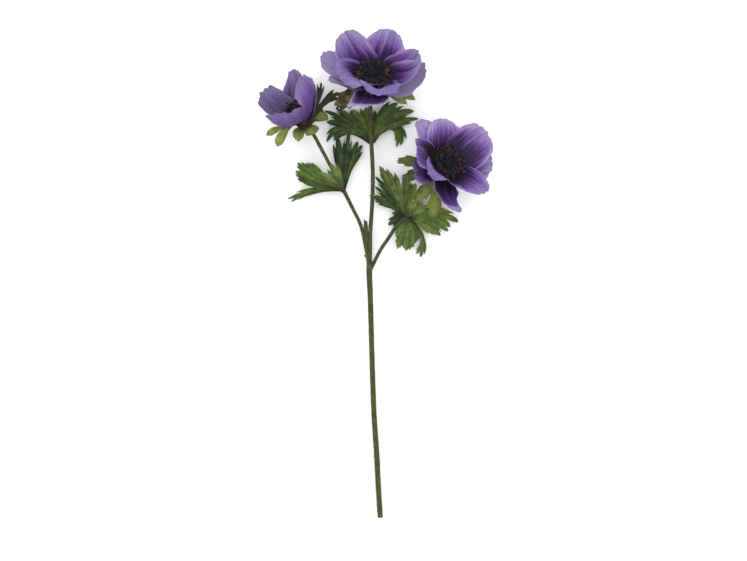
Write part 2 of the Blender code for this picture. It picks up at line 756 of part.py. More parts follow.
def cut_back(stem, main_line):
    """Cut a side stem back to a scarf joint just clear of the main stem."""
    wide = [np.append(knot[:3], knot[3] + GAP) for knot in main_line]
    points, faces = tube(wide, STEM_SIDES)
    cutter = add_object("stem_cutter", "stem", points, faces)
    cutter.hide_render = True
    cutter.display_type = "WIRE"
    cut = stem.modifiers.new("scarf", "BOOLEAN")
    cut.operation = "DIFFERENCE"
    cut.solver = "EXACT"
    cut.object = cutter
    graph = bpy.context.evaluated_depsgraph_get()
    mesh = bpy.data.meshes.new_from_object(stem.evaluated_get(graph))
    stem.modifiers.clear()
    stem.data = mesh
    mesh.name = stem.name
    bpy.data.objects.remove(cutter)


def make_stems(bottoms):
    """Main stem and the two side stems bound to it."""
    main_line = stem_line(MAIN_STEM, "top", bottoms["top"], STEM_STEPS)
    points, faces = tube(main_line, STEM_SIDES)
    add_object("main_stem", "stem", points, faces)
    for name, knots in (("left", LEFT_STEM), ("right", RIGHT_STEM)):
        line = stem_line(knots, name, bottoms[name], STEM_STEPS)
        points, faces = tube(line, STEM_SIDES)
        cut_back(add_object(f"{name}_side_stem", "stem", points, faces), main_line)


def lobe_outline(start, bend, tip, width):
    """Toothed outline of a lobe along its curved midline, anticlockwise."""
    start, bend, tip = (np.array(point, float) for point in (start, bend, tip))

    def place(along, side):
        point = (1 - along) ** 2 * start + 2 * along * (1 - along) * bend + along**2 * tip
        ahead = (1 - along) * (bend - start) + along * (tip - bend)
        ahead = ahead / np.linalg.norm(ahead)
        return point + 0.5 * width * side * np.array([ahead[1], -ahead[0]])

    right = [place(along, side) for along, side in LOBE_EDGE]
    left = [place(along, -side) for along, side in reversed(LOBE_EDGE)]
    return right + [tip] + left


def inside_points(outline, spacing):
    """Grid points that lie inside an outline."""
    outline = np.array(outline)
    low, high = outline.min(axis=0), outline.max(axis=0)
    after = np.roll(outline, -1, axis=0)
    found = []
    for x in np.arange(low[0] // spacing * spacing, high[0], spacing):
        for y in np.arange(low[1] // spacing * spacing, high[1], spacing):
            crosses = (outline[:, 1] > y) != (after[:, 1] > y)
            rise = np.where(crosses, after[:, 1] - outline[:, 1], 1.0)
            at = outline[:, 0] + (y - outline[:, 1]) * (after[:, 0] - outline[:, 0]) / rise
            if np.count_nonzero(crosses & (at > x)) % 2:
                found.append((x, y))
    return found


def triangulate(outlines, spacing):
    """Flat mesh of the area that the outlines cover together."""
    points = []
    faces = []
    for outline in outlines:
        faces.append(list(range(len(points), len(points) + len(outline))))
        points += [tuple(point) for point in outline]
    for outline in outlines:
        points += inside_points(outline, spacing)
    result = delaunay_2d_cdt([Vector(point) for point in points], [], faces, 1, 0.12)
    return np.array([tuple(point) for point in result[0]]), [tuple(face) for face in result[2]]


def tidy_flat(points, faces):
    """Weld near points, drop slivers and part patches that only touch at a point."""
    body = bmesh.new()
    corners = [body.verts.new((x, y, 0.0)) for x, y in points]
    for face in faces:
        body.faces.new([corners[place] for place in face])
    bmesh.ops.remove_doubles(body, verts=body.verts, dist=0.15)
    thin = [face for face in body.faces if face.calc_area() < 0.01]
    bmesh.ops.delete(body, geom=thin, context="FACES")
    bmesh.ops.delete(body, geom=[vert for vert in body.verts if not vert.link_faces], context="VERTS")
    for vert in list(body.verts):
        open_edges = [edge for edge in vert.link_edges if edge.is_boundary]
        if len(open_edges) > 2:
            for apart in bmesh.utils.vert_separate(vert, open_edges):
                middle = sum((face.calc_center_median() for face in apart.link_faces), Vector())
                apart.co = apart.co.lerp(middle / len(apart.link_faces), 0.15)
    body.verts.index_update()
    flat = np.array([(vert.co.x, vert.co.y) for vert in body.verts])
    kept = [tuple(vert.index for vert in face.verts) for face in body.faces]
    rim = []
    for face in body.faces:
        for loop in face.loops:
            if loop.edge.is_boundary:
                rim.append((loop.vert.index, loop.link_loop_next.vert.index))
    body.free()
    return flat, kept, rim


def leaf_height(leaf, flat):
    """Height of the leaf's middle surface over the node at points measured from the node."""
    heading = radians(leaf["heading"])
    ahead = np.array([cos(heading), sin(heading)])
    reach = np.linalg.norm(flat, axis=1)
    aside = flat @ np.array([-ahead[1], ahead[0]])
    lift = leaf["height"] + leaf["slope"] * reach - leaf["sag"] * reach**2
    return lift + leaf["fold"] * (np.sqrt(aside**2 + 4.0) - 2.0)


def make_leaf(whorl, name, leaf):
    """One deeply cut leaf."""
    outlines = [lobe_outline(*lobe) for lobe in leaf["lobes"]]
    flat, faces, rim = tidy_flat(*triangulate(outlines, LEAF_SPACING))
    height = leaf_height(leaf, flat)
    base = WHORLS[whorl]
    points = np.column_stack([flat + np.array(base["node"]), height + base["height"]])
    step = 0.05
    along_x = (leaf_height(leaf, flat + (step, 0.0)) - height) / step
    along_y = (leaf_height(leaf, flat + (0.0, step)) - height) / step
    normals = np.column_stack([-along_x, -along_y, np.ones(len(flat))])
    normals = normals / np.linalg.norm(normals, axis=1, keepdims=True)
    points, faces = sheet_solid(points, normals, faces, rim, LEAF_THICKNESS)
    add_object(f"{whorl}_leaf_{name}", "leaf", points, faces)


def settle():
    """Stand the spray on z = 0 with the middle of its box over the origin."""
    corners = np.array([vert.co for part in bpy.data.objects for vert in part.data.vertices])
    low, high = corners.min(axis=0), corners.max(axis=0)
    shift = Vector((-0.5 * (low[0] + high[0]), -0.5 * (low[1] + high[1]), -low[2]))
    for part in bpy.data.objects:
        for vert in part.data.vertices:
            vert.co += shift


def main():
    for part in list(bpy.data.objects):
        bpy.data.objects.remove(part)
    make_materials()
    bottoms = {}
    for name in HEADS:
        petal_grids, whorl, bracts = head_blades(name)
        for petal, grid in petal_grids.items():
            points, faces = grid_solid(grid, PETAL_THICKNESS)
            add_object(f"{name}_petal_{petal}", "petal", points, faces)
        make_bracts(name, whorl, bracts)
        bottoms[name] = whorl["seat"] - NECK_TAIL
        make_seed_cone(name, bottoms[name])
        make_stamens(name)
    make_stems(bottoms)
    for whorl, leaves in LEAVES.items():
        for name, leaf in leaves.items():
            make_leaf(whorl, name, leaf)
    settle()


main()
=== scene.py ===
"""Looks of the anemone spray: pleated petals, stamens, toothed leaves, taped stems and the studio.

The tables and the bowl that the petals lie on are the same as the solid model's, in millimetres.
"""

import json
from math import cos, pi, radians, sin, sqrt

import bmesh
import bpy
import numpy as np
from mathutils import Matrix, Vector
from mathutils.geometry import delaunay_2d_cdt

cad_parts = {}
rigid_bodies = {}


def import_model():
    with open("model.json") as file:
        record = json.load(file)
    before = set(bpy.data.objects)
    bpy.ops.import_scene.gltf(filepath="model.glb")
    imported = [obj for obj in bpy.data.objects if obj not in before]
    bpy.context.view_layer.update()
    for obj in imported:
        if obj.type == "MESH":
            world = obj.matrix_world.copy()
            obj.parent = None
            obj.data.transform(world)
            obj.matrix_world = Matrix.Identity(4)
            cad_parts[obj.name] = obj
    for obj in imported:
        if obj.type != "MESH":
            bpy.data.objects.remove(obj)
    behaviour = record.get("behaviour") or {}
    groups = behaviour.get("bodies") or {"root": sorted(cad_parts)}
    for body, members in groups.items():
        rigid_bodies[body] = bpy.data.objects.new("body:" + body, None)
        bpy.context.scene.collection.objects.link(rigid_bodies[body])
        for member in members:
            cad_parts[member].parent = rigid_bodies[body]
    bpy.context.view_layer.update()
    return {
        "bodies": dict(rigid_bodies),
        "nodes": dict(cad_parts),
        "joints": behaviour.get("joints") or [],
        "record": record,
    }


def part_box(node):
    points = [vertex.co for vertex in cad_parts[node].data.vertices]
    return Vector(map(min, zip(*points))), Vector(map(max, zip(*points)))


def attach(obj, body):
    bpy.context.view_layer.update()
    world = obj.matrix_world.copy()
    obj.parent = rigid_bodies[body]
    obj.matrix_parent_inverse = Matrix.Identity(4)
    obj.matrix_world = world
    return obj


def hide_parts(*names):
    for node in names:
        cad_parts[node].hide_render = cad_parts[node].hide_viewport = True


MM = 0.001
MATERIAL = {}
SHIFT = np.zeros(3)

# Camera: straight above the spray.
CAMERA_HEIGHT = 1930.0
CAMERA_LENS = 100.13

# Floor, soft light from all round, and lights: name, power, size and place, in metres.
FLOOR_HALF = 3.0
FLOOR_COLOUR = (0.94, 0.94, 0.94, 1.0)
WORLD_STRENGTH = 1.25
LIGHTS = (
    ("key", 11.0, 1.6, (-0.5, 0.6, 1.7)),
    ("fill", 7.0, 1.8, (0.7, -0.3, 1.8)),
)

# Looks of single petals.
# ruffle, waves, ragged: height, number and raggedness of the waves of the rim; wavy: sway of the sides.
# dark, grey: how dark and how grey it is; shift: move of the colour bands; blush: strength of the mauve.
# band, hem: where a pale band starts along the petal and across it; pale: how pale that band is.
# gold: how far the gold of the claw goes; claw: width of the claw; narrow: how much the tip narrows.
# drop: roundness of the tip; dip: depth of the fold in mm, its place and its width across.
PETAL_LOOK_USUAL = dict(
    ruffle=0.7, waves=4.0, ragged=0.026, wavy=0.02, dark=0.0, grey=0.0, shift=0.0, blush=0.5, band=2.0,
    hem=2.0, pale=0.0, gold=0.0, claw=0.3, narrow=1.0, drop=0.0, dip=(0.0, 0.0, 1.0),
)
PETAL_LOOK = {
    "top_petal_front": dict(ruffle=0.9, waves=3.5, band=0.73, dip=(5.2, 0.0, 0.42)),
    "top_petal_front_left": dict(dark=0.35, band=0.88, hem=0.86),
    "top_petal_outer_front": dict(dark=0.6, band=0.75, hem=0.82, pale=0.7, gold=0.4, ragged=0.04),
    "top_petal_outer_left": dict(grey=0.3, blush=0.2, shift=0.26),
    "top_petal_outer_left_front": dict(grey=0.3, shift=0.26),
    "top_petal_outer_right": dict(blush=0.3, shift=0.45),
    "right_petal_front": dict(ruffle=1.2, dark=0.5, blush=0.9, band=0.76, ragged=0.024),
    "right_petal_front_right": dict(gold=0.2, dark=0.15, shift=-0.07, ragged=0.03),
    "right_petal_left": dict(
        gold=0.24, dark=0.7, blush=0.2, shift=-0.14, band=0.94, hem=0.92, ragged=0.024,
    ),
    "right_petal_outer_left": dict(dark=0.35, shift=-0.04, band=0.93, hem=0.92, ragged=0.024),
    "right_petal_outer_front": dict(
        dark=0.75, shift=-0.1, band=0.84, hem=0.9, pale=0.4, narrow=0.82, drop=-0.04, ragged=0.02, wavy=0.09,
    ),
    "right_petal_back_left": dict(grey=0.3, blush=0.2, shift=0.16),
    "right_petal_back_right": dict(blush=0.95, shift=-0.03, grey=0.12, ragged=0.03),
    "left_petal_front": dict(
        ruffle=1.4, waves=5.0, ragged=0.075, grey=0.35, dark=0.35, blush=0.8, claw=0.75,
        dip=(4.5, -0.35, 0.5),
    ),
    "left_petal_left": dict(ragged=0.045, grey=0.75, dark=0.3, shift=0.05, blush=0.2, claw=0.5),
    "left_petal_back": dict(ragged=0.045, grey=0.45, dark=0.25, blush=0.3, claw=0.5),
    "left_petal_right": dict(ragged=0.04, wavy=0.07, shift=0.04, dark=0.12, blush=0.9, claw=0.5),
    "left_petal_right_back": dict(ragged=0.035, grey=0.4, dark=0.2, claw=0.5),
}

# Looks of single leaves: green and olive shares, width of the lobes as a share, and their edge.
LEAF_LOOK_USUAL = dict(tone=0.4, olive=0.1, wide=1.0, edge="fingered")
LEAF_LOOK = {
    "top_leaf_right": dict(tone=0.28, olive=0.12, wide=0.84),
    "top_leaf_drooping": dict(tone=0.75, wide=1.25),
    "top_leaf_left": dict(tone=0.1, olive=0.0),
    "top_leaf_back": dict(tone=0.45, olive=0.3, wide=1.35),
    "left_leaf_upper": dict(tone=0.7, olive=0.08, edge="blunt"),
    "left_leaf_lower": dict(tone=0.5, olive=0.12),
    "left_leaf_middle": dict(olive=0.3),
    "left_leaf_back": dict(tone=0.05, olive=0.0),
    "right_leaf_fan": dict(tone=0.38, olive=0.12, wide=0.74, edge="blunt"),
    "right_leaf_left": dict(tone=0.2, olive=0.0),
    "right_leaf_blade": dict(tone=0.7, olive=0.3),
    "right_leaf_right": dict(tone=0.95, olive=0.12),
    "right_leaf_lower": dict(tone=0.7, edge="blunt"),
    "right_leaf_tail": dict(tone=0.85, olive=0.05),
    "right_leaf_small": dict(tone=0.05, olive=0.0),
}
# Looks of single bracts: green and olive shares, how brown, length and width as shares, and edge.
BRACT_LOOK_USUAL = dict(tone=0.6, olive=1.0, shade=0.0, long=1.0, wide=1.0, edge="toothed")
BRACT_LOOK = {
    ("left", "b0"): dict(long=0.88, wide=0.8),
    ("left", "b1"): dict(long=0.95, wide=0.85),
    ("left", "b2"): dict(wide=1.15),
    ("left", "b5"): dict(wide=1.15, long=0.93, tone=0.0, olive=0.0, shade=2.5, edge="pronged"),
    ("left", "b6"): dict(tone=0.0, olive=0.0, shade=2.5, edge="pronged"),
    ("top", "b0"): dict(tone=0.3, olive=0.55, shade=0.8, edge="notched"),
    ("top", "b1"): dict(tone=0.3, olive=0.6, shade=0.35, edge="notched"),
    ("right", "b0"): dict(tone=0.3, olive=0.45, shade=0.25, edge="notched"),
    ("right", "b1"): dict(tone=0.2, olive=0.3, shade=0.5, edge="notched"),
    ("right", "b2"): dict(tone=0.4, olive=0.9, shade=0.5, wide=0.85, edge="notched"),
    ("right", "b3"): dict(olive=1.1, shade=0.3, wide=0.85, edge="notched"),
}

# Edges of leaf lobes and bracts: share of the length and share of the half width, from root to tip.
LEAF_EDGES = {
    "fingered": (
        (0.0, 0.30), (0.12, 0.40), (0.25, 0.55), (0.38, 0.72), (0.50, 0.87), (0.61, 0.99),
        (0.70, 1.03), (0.78, 1.01), (0.86, 0.92), (0.80, 0.68), (0.77, 0.50), (0.85, 0.47),
        (0.93, 0.37), (0.975, 0.20),
    ),
    "blunt": (
        (0, 0.3), (0.12, 0.44), (0.25, 0.62), (0.38, 0.82), (0.5, 0.98), (0.6, 1.08), (0.68, 1.12),
        (0.74, 1.04), (0.81, 1.06), (0.88, 0.92), (0.85, 0.7), (0.91, 0.64), (0.96, 0.5),
        (0.92, 0.32), (0.975, 0.22),
    ),
}
BRACT_EDGES = {
    "toothed": (
        (0.0, 0.40), (0.15, 0.45), (0.30, 0.62), (0.45, 0.84), (0.60, 0.98), (0.72, 1.02),
        (0.82, 0.94), (0.89, 0.78), (0.87, 0.60), (0.94, 0.54), (0.90, 0.34), (0.97, 0.24),
        (0.94, 0.08),
    ),
    "notched": (
        (0.0, 0.55), (0.15, 0.66), (0.30, 0.86), (0.42, 1.06), (0.50, 1.10), (0.53, 0.86),
        (0.60, 0.88), (0.70, 1.02), (0.80, 0.98), (0.79, 0.72), (0.84, 0.60), (0.93, 0.56),
        (0.98, 0.36), (0.92, 0.20), (0.96, 0.10),
    ),
    "pronged": (
        (0.0, 1.2), (0.2, 1.2), (0.4, 1.1), (0.55, 1.0), (0.68, 1.05), (0.80, 1.25), (0.90, 1.35),
        (0.96, 1.2), (0.88, 0.65), (0.87, 0.45), (0.95, 0.4),
    ),
}

# Colour bands of a petal from its claw to its rim, on the inner and the outer face.
PETAL_INNER = (
    (0.0, (0.11, 0.12, 0.035)),
    (0.07, (0.030, 0.026, 0.019)),
    (0.16, (0.012, 0.007, 0.017)),
    (0.42, (0.022, 0.010, 0.042)),
    (0.55, (0.060, 0.028, 0.122)),
    (0.69, (0.125, 0.068, 0.242)),
    (0.84, (0.185, 0.133, 0.320)),
    (1.0, (0.275, 0.228, 0.410)),
)
PETAL_OUTER = (
    (0.0, (0.078, 0.078, 0.039)),
    (0.12, (0.045, 0.028, 0.062)),
    (0.40, (0.085, 0.037, 0.160)),
    (0.70, (0.130, 0.070, 0.245)),
    (1.0, (0.210, 0.160, 0.340)),
)
PETAL_BAND = ((0.3, (0.087, 0.050, 0.174)), (0.5, (0.144, 0.109, 0.270)), (0.72, (0.217, 0.178, 0.357)))
MAUVE = (1.25, 0.80, 1.08)
CLAW_GOLD = (0.135, 0.125, 0.045)
PETAL_PALE = (0.36, 0.31, 0.50)
PETAL_LIGHT = (0.235, 0.200, 0.374)
PETAL_RIM = (0.183, 0.161, 0.270)
PETAL_GREY = (0.096, 0.080, 0.148)
PETAL_SHADE = (0.30, 0.20, 0.40)
PETAL_VEIN = (0.46, 0.40, 0.62)

# Colours of leaves and bracts: the dark, light and olive mottles, then what lies over them, some of it
# painted shade.
LEAF_DARK = ((0.37, (0.009, 0.016, 0.008)), (0.5, (0.020, 0.033, 0.014)), (0.63, (0.033, 0.051, 0.021)))
LEAF_LIGHT = ((0.37, (0.041, 0.075, 0.013)), (0.5, (0.063, 0.105, 0.019)), (0.63, (0.086, 0.137, 0.027)))
LEAF_OLIVE = ((0.37, (0.125, 0.148, 0.030)), (0.5, (0.212, 0.240, 0.056)), (0.63, (0.300, 0.325, 0.090)))
LEAF_VEIN = (0.17, 0.24, 0.08)
LEAF_VEIN_BAND_SHADE = (0.45, 0.5, 0.4)
LEAF_LOBE_GAP_SHADE = (0.50, 0.58, 0.48)
LEAF_UNDER = (0.12, 0.16, 0.06)
LEAF_RIM = (0.10, 0.14, 0.05)
NODE_SHADE_AND_TIP_DARK = (0.020, 0.022, 0.014)
COLLAR = (0.042, 0.034, 0.020)

# Colours of the stems: the mottle, the line and the light side of a lap of tape, and the marks on it.
STEM_COLOURS = ((0.3, (0.023, 0.028, 0.010)), (0.5, (0.044, 0.053, 0.018)), (0.7, (0.077, 0.089, 0.035)))
TAPE_LINE = (0.5, 0.5, 0.45)
TAPE_LIGHT = (0.34, 0.37, 0.20)
TAPE_MARK = (0.07, 0.06, 0.03)

# Materials of the centre of a head: roughness, scale of the mottle, and its colours.
CENTRE_LOOKS = {
    "seed_cone": (
        0.62, 900.0,
        ((0.3, (0.003, 0.003, 0.006)), (0.55, (0.009, 0.009, 0.016)), (0.8, (0.026, 0.026, 0.038))),
    ),
    "filament": (
        0.6, 260.0,
        ((0.3, (0.016, 0.012, 0.018)), (0.55, (0.038, 0.032, 0.032)), (0.8, (0.10, 0.088, 0.064))),
    ),
    "anther": (
        0.65, 500.0,
        ((0.3, (0.003, 0.003, 0.007)), (0.6, (0.011, 0.010, 0.018)), (0.85, (0.040, 0.036, 0.042))),
    ),
    "pollen": (
        0.8, 500.0,
        ((0.3, (0.034, 0.031, 0.018)), (0.6, (0.066, 0.062, 0.042)), (0.85, (0.13, 0.125, 0.09))),
    ),
}
RECEPTACLE = ((0.3, (0.030, 0.026, 0.012)), (0.5, (0.055, 0.048, 0.024)), (0.72, (0.10, 0.095, 0.04)))

# How finely the surfaces are divided, and the divisions of the solid model's bowls and stems.
PETAL_ROWS = 44
PETAL_COLUMNS = 36
LEAF_SPACING = 2.1
BRACT_SPACING = 1.7
COLLAR_SIDES = 48
CONE_ROWS = 34
CONE_SIDES = 72
CUP_SIDES = 32
STEM_SIDES = 28
STEM_STEP = 0.8
STEM_SPAN_STEPS = 8
TAPE_SIDES = 12
TAPE_SPAN_STEPS = 4
ARC_STEPS = 60
SOLID_STEM_SIDES = 10
SOLID_STEM_STEPS = 2

# Relief of the petals: pleats per turn and their height, depth of the midrib, curl of the rim.
FINE_PLEATS = (57.0, 0.08)
BROAD_PLEATS = (13.0, 0.36)
MIDRIB_DEPTH = 0.35
RIM_CURL = 0.22

# Relief of leaves and bracts: crease along a midrib, width that it takes, height of the waves, and
# how far the surface is let down to make room for the crease.
LEAF_CREASE = 0.9
BRACT_CREASE = 0.5
CREASE_WIDTH = 3.0
LEAF_WAVE = 0.3
LEAF_DROP = 0.4
BRACT_DROP = 0.25

# Outlines: distance under which points are welded, smallest area of a face, tolerance of the
# triangulation, and how far a lobe's teeth may slip along it.
WELD = 0.15
SLIVER = 0.01
NEAR = 0.12
TOOTH_SLIP = 0.03

# Points along a midrib, step that slopes are measured over, size of one unit of the plan texture
# layer, and how many seeds there are for the noises.
RIB_POINTS = 16
SLOPE_STEP = 0.05
PLAN_SIZE = 50.0
SEED_RANGE = 97

# Thickness of the sheets, how far a blade's foot goes into the neck, and the reach of a collar of bracts.
PETAL_SHEET = 0.3
LEAF_SHEET = 0.32
FOOT_TUCK = 0.6
COLLAR_REACH = 5.6

# Gap between parts, radius of a head's neck, how far it goes on below the bracts, and how far below
# the neck the last two points of the stem lie.
GAP = 0.3
NECK_RADIUS = 3.6
NECK_TAIL = 1.6
STEM_TIP = (8.0, 0.1)

# Bowls that the petals and bracts lie on: radius of the foot, reach of the belly and of the lip,
# ripples round the rim, distance between layers, turn within which two petals overlap, share of a
# blade that its narrow claw takes, and how sharply each blade keeps its own slope.
BOWL_START = NECK_RADIUS + GAP + 0.15
BOWL_BEND = 21.0
BOWL_LIP = 22.0
WAVE_DEPTH = 0.4
WAVE_COUNT = 7
LAYER = 1.05
OVERLAP_SPREAD = 118.0
CLAW_LENGTH = 0.45
FOCUS = {"inner": 5.0, "outer": 5.0, "bract": 22.0}

# Seed cone: its radius, height of its base and flatness, and its pistils: number, height and width.
SEED_CONE_RADIUS = 6.0
CONE_BASE = 2.6
CONE_FLATNESS = 0.92
PISTIL_COUNT = 150
PISTIL_HEIGHT = 0.42
PISTIL_WIDTH = 0.105

# Receptacle: radius and height over the bottom of the neck, then radius as a share of the seed cone's
# and height over the middle of the flower.
CUP_FOOT = ((1.75, -0.3), (2.3, 0.3), (3.1, 0.8), (3.55, 1.3), (NECK_RADIUS, 3.0))
CUP_TOP = 0.6
CUP_BODY = ((0.8, 1.6), (0.98, 2.7), (0.9, 3.2))

# Stamens: number, height of the seat, radii and sides of a filament and of an anther's lobe, and how
# far the two lobes stand from the middle. GOLDEN_TURN is the angle from one to the next.
STAMEN_COUNT = 380
STAMEN_SEAT = 3.35
FILAMENT_RADII = (0.26, 0.22, 0.19, 0.16, 0.13)
FILAMENT_SIDES = 5
ANTHER_RADII = (0.12, 0.37, 0.42, 0.37, 0.12)
ANTHER_SIDES = 6
ANTHER_LOBES = (-0.26, 0.26)
GOLDEN_TURN = 2.399963

# Heads: where the petals spring from, which way the flower looks, the size of its seed cone, the
# radius and rise of its crown of stamens, and in that crown the share of pale anthers (pollen), how
# much heights differ (heap), how much lower the back is (lean), how much further the front reaches
# (front), and how wide it is.
HEADS = {
    "top": dict(
        centre=(-0.5, 186.0, 37.0), axis=(0.0, 0.67, 0.74), size=1.0, crown=17.0, rise=0.36,
        pollen=0.4, heap=0.3, lean=0.5, front=0.8, wide=1.0,
    ),
    "right": dict(
        centre=(66.0, 105.0, 36.0), axis=(0.35, 0.33, 0.87), size=1.0, crown=14.4, rise=0.6,
        pollen=0.15, heap=0.4, lean=0.2, front=0.0, wide=1.16,
    ),
    "left": dict(
        centre=(-65.0, 147.0, 30.0), axis=(-0.36, 0.80, 0.48), size=0.85, crown=11.5, rise=2.0,
        pollen=0.05, heap=0.2, lean=-0.1, front=0.0, wide=1.0,
    ),
}


def blade(usual, turn, rise, length, width, **changes):
    """Numbers of a petal or bract; changes go over the usual ones."""
    return {**usual, "turn": turn, "rise": rise, "length": length, "width": width, **changes}


def petal(*sizes, **changes):
    """Numbers of one petal."""
    return blade(dict(claw=0.21, narrow=0.3, sway=0.0, drop=0.3, skew=0.0), *sizes, **changes)


def bract(*sizes, **changes):
    """Numbers of one bract."""
    return blade(dict(claw=0.4, narrow=0.75, sway=0.0, drop=0.15, skew=0.0), *sizes, **changes)


# Petals and bracts sit on bowl-shaped surfaces, one for each whorl, in thin layers that never cross.
# Each has its turn round the axis; the slope of the bowl there at the claw, half way out and at the
# tip; its length and its width. sway: how far the tip leans sideways; drop: how round the tip is;
# skew: how lopsided it is; claw: share of the width there; narrow: how much the tip narrows.
BLADES = {
    ("top", "inner"): {
        "front": petal(-77, (8, 55, -27), 44.7, 37.8, sway=-0.4, drop=0.05, skew=0.03),
        "front_left": petal(212, (8, 61, -35), 41.3, 52.3, sway=0.8, drop=0.05, skew=0.04),
        "right": petal(-14, (4, 5, 47), 45.9, 35.2, sway=5.2, drop=0.32, skew=0.12),
        "right_back": petal(12, (10, 36, 79), 46.1, 34.8, sway=-0.1, drop=0.22, skew=-0.07),
        "back_left": petal(136, (9, 33, 67), 46.1, 43.2, sway=-0.2, drop=0.14, skew=-0.09),
        "back_right": petal(65, (11, 39, 61), 44.0, 43.0, sway=1.1, drop=0.17, skew=0.01),
    },
    ("top", "outer"): {
        "outer_left": petal(158, (1, 3, 31), 48.6, 38.3, sway=-0.5, drop=0.09, skew=-0.08),
        "outer_left_front": petal(190, (7, 24, -21), 37.3, 33.7, sway=-0.5, drop=0.42, skew=-0.01),
        "outer_right": petal(-11, (-2, -5, 40), 45.3, 54.2, sway=5.2, drop=0.05, skew=0.12),
        "outer_front": petal(-87, (10, 14, 33), 49.5, 34.1, sway=-12.5, drop=0.05, skew=-0.12),
    },
    ("top", "bract"): {
        "b0": bract(211, (-2, -17, -29), 38.8, 17.0, sway=0.3, drop=0.16),
        "b1": bract(228, (-21, -42, -38), 20.0, 9.0),
        "b2": bract(-34, (-13, -19, -28), 34.8, 8.6, sway=1, drop=0.17, skew=0.02),
        "b3": bract(-19, (-12, -9, -32), 38.5, 9.0, sway=-0.2, drop=0.14, skew=0.03),
        "b4": bract(90, (-10, -20, -20), 22.0, 10.0),
        "b5": bract(151, (-9, -19, -20), 24.0, 10.0),
    },
    ("right", "inner"): {
        "front": petal(-138, (14, 67, -40), 39.4, 29.7, sway=-1.2, drop=0.12, skew=0.03, claw=0.3),
        "left": petal(184, (10, 55, 62), 46.0, 35.7, sway=-0.1, drop=0.05, skew=0.01),
        "front_right": petal(-46, (18, 37, 4), 43.1, 32.6, sway=1.8, drop=0.16, skew=0.07, claw=0.3),
        "back_right": petal(40, (9, 16, -8), 52.1, 43.2, sway=1.8, drop=0.1, skew=0.01),
        "back": petal(99, (16, 35, 21), 41.0, 40.7, sway=0.7, drop=0.12, skew=0.04),
        "back_left": petal(125, (12, 26, -45), 48.1, 32.3, sway=2.3, drop=0.25, skew=0.03),
    },
    ("right", "outer"): {
        "outer_left": petal(195, (6, 32, 47), 40.6, 26.4, sway=6.8, drop=0.05),
        "outer_front": petal(-96, (14, -7, 3), 39.4, 21.8, sway=15.7, drop=0.13, skew=0.12, narrow=0.6),
        "outer_right": petal(14, (1, 5, 11), 45.2, 39.8, sway=0.9, drop=0.14, skew=0.01),
    },
    ("right", "bract"): {
        "b0": bract(169, (-6, -12, -52), 40.1, 11.7, sway=1.3, skew=-0.01),
        "b1": bract(196, (-6, -21, -40), 36.6, 10.8, sway=0.5, drop=0.17),
        "b2": bract(237, (-11, -39, -32), 37.5, 12.2, sway=0.8, drop=0.27, skew=-0.01),
        "b3": bract(263, (-31, -17, -18), 44.1, 15.2, sway=0.9, drop=0.19),
        "b4": bract(20, (-10, -20, -20), 22.0, 10.0),
        "b5": bract(100, (-10, -20, -20), 22.0, 10.0),
    },
    ("left", "inner"): {
        "front": petal(-102, (23, 46, 63), 40.8, 49.1, sway=-5.8, drop=0.17, skew=-0.05),
        "right": petal(-29, (40, 62, 89), 56.2, 25.8, sway=-8.4, drop=0.08, skew=-0.06),
        "left": petal(157, (26, 49, 41), 44.1, 36.0, sway=-7.5, drop=0.05, skew=-0.06),
        "back": petal(88, (22, 64, 60), 46.5, 35.7, sway=-2.1, drop=0.34, skew=-0.08),
        "right_back": petal(38, (33, 73, 69), 37.0, 33.0),
    },
    ("left", "outer"): {},
    ("left", "bract"): {
        "b0": bract(195, (24, 26, -26), 39.0, 7.3, sway=1.9, drop=0.21, skew=0.03),
        "b1": bract(214, (52, -45, -44), 36.2, 8.5, drop=0.18, skew=0.05),
        "b2": bract(255, (-8, -43, -50), 18.7, 8.8, sway=-3.3, drop=0.09, skew=-0.11),
        "b3": bract(294, (-6, -19, -20), 19.5, 14.5, sway=0.1, drop=0.16, skew=0.01),
        "b4": bract(29, (-19, -27, -14), 21.7, 15.2, sway=2.3, drop=0.17, skew=0.03),
        "b5": bract(60, (-7, 26, 61), 48.8, 4.7, sway=-1, drop=0.06, skew=-0.02),
        "b6": bract(55, (-8, 30, 22), 44.5, 4.4, sway=-10.4, drop=0.1),
    },
}

# Stems: points of the centre line with the radius there.
MAIN_STEM = (
    (6.3, -219.9, 2.5, 2.45),
    (4.3, -188.4, 3.2, 2.45),
    (3.0, -161.8, 4.0, 2.5),
    (0.7, -127.6, 5.2, 2.45),
    (-0.9, -87.8, 6.6, 2.45),
    (-2.9, -17.8, 8.6, 2.5),
    (-3.9, 7.1, 9.4, 2.75),
    (-3.6, 24.6, 10.0, 2.35),
    (-2.9, 45.6, 10.8, 1.95),
    (-1.1, 73.6, 12.2, 1.9),
    (-0.7, 101.1, 13.6, 1.9),
    (-2.0, 126.7, 15.0, 1.95),
    (-3.2, 140.4, 16.0, 2.1),
    (-2.8, 158.7, 19.5, 1.9),
    (-1.6, 172.0, 25.0, 1.9),
)
LEFT_STEM = (
    (-3.9, 12.3, 9.6, 1.7),
    (-6.6, 27.9, 10.4, 1.7),
    (-11.4, 49.8, 11.6, 1.65),
    (-18.7, 65.4, 12.6, 1.65),
    (-27.9, 83.7, 13.8, 1.85),
    (-33.4, 93.7, 14.6, 1.65),
    (-48.0, 121.2, 17.4, 1.65),
    (-56.2, 135.4, 22.0, 1.6),
)
RIGHT_STEM = (
    (-2.6, 10.5, 9.5, 1.75),
    (6.5, 28.2, 10.2, 1.7),
    (13.5, 38.6, 10.8, 1.7),
    (20.5, 49.1, 11.6, 1.7),
    (29.7, 58.1, 13.0, 1.9),
    (42.0, 72.0, 17.0, 1.65),
    (56.0, 90.0, 23.0, 1.6),
)
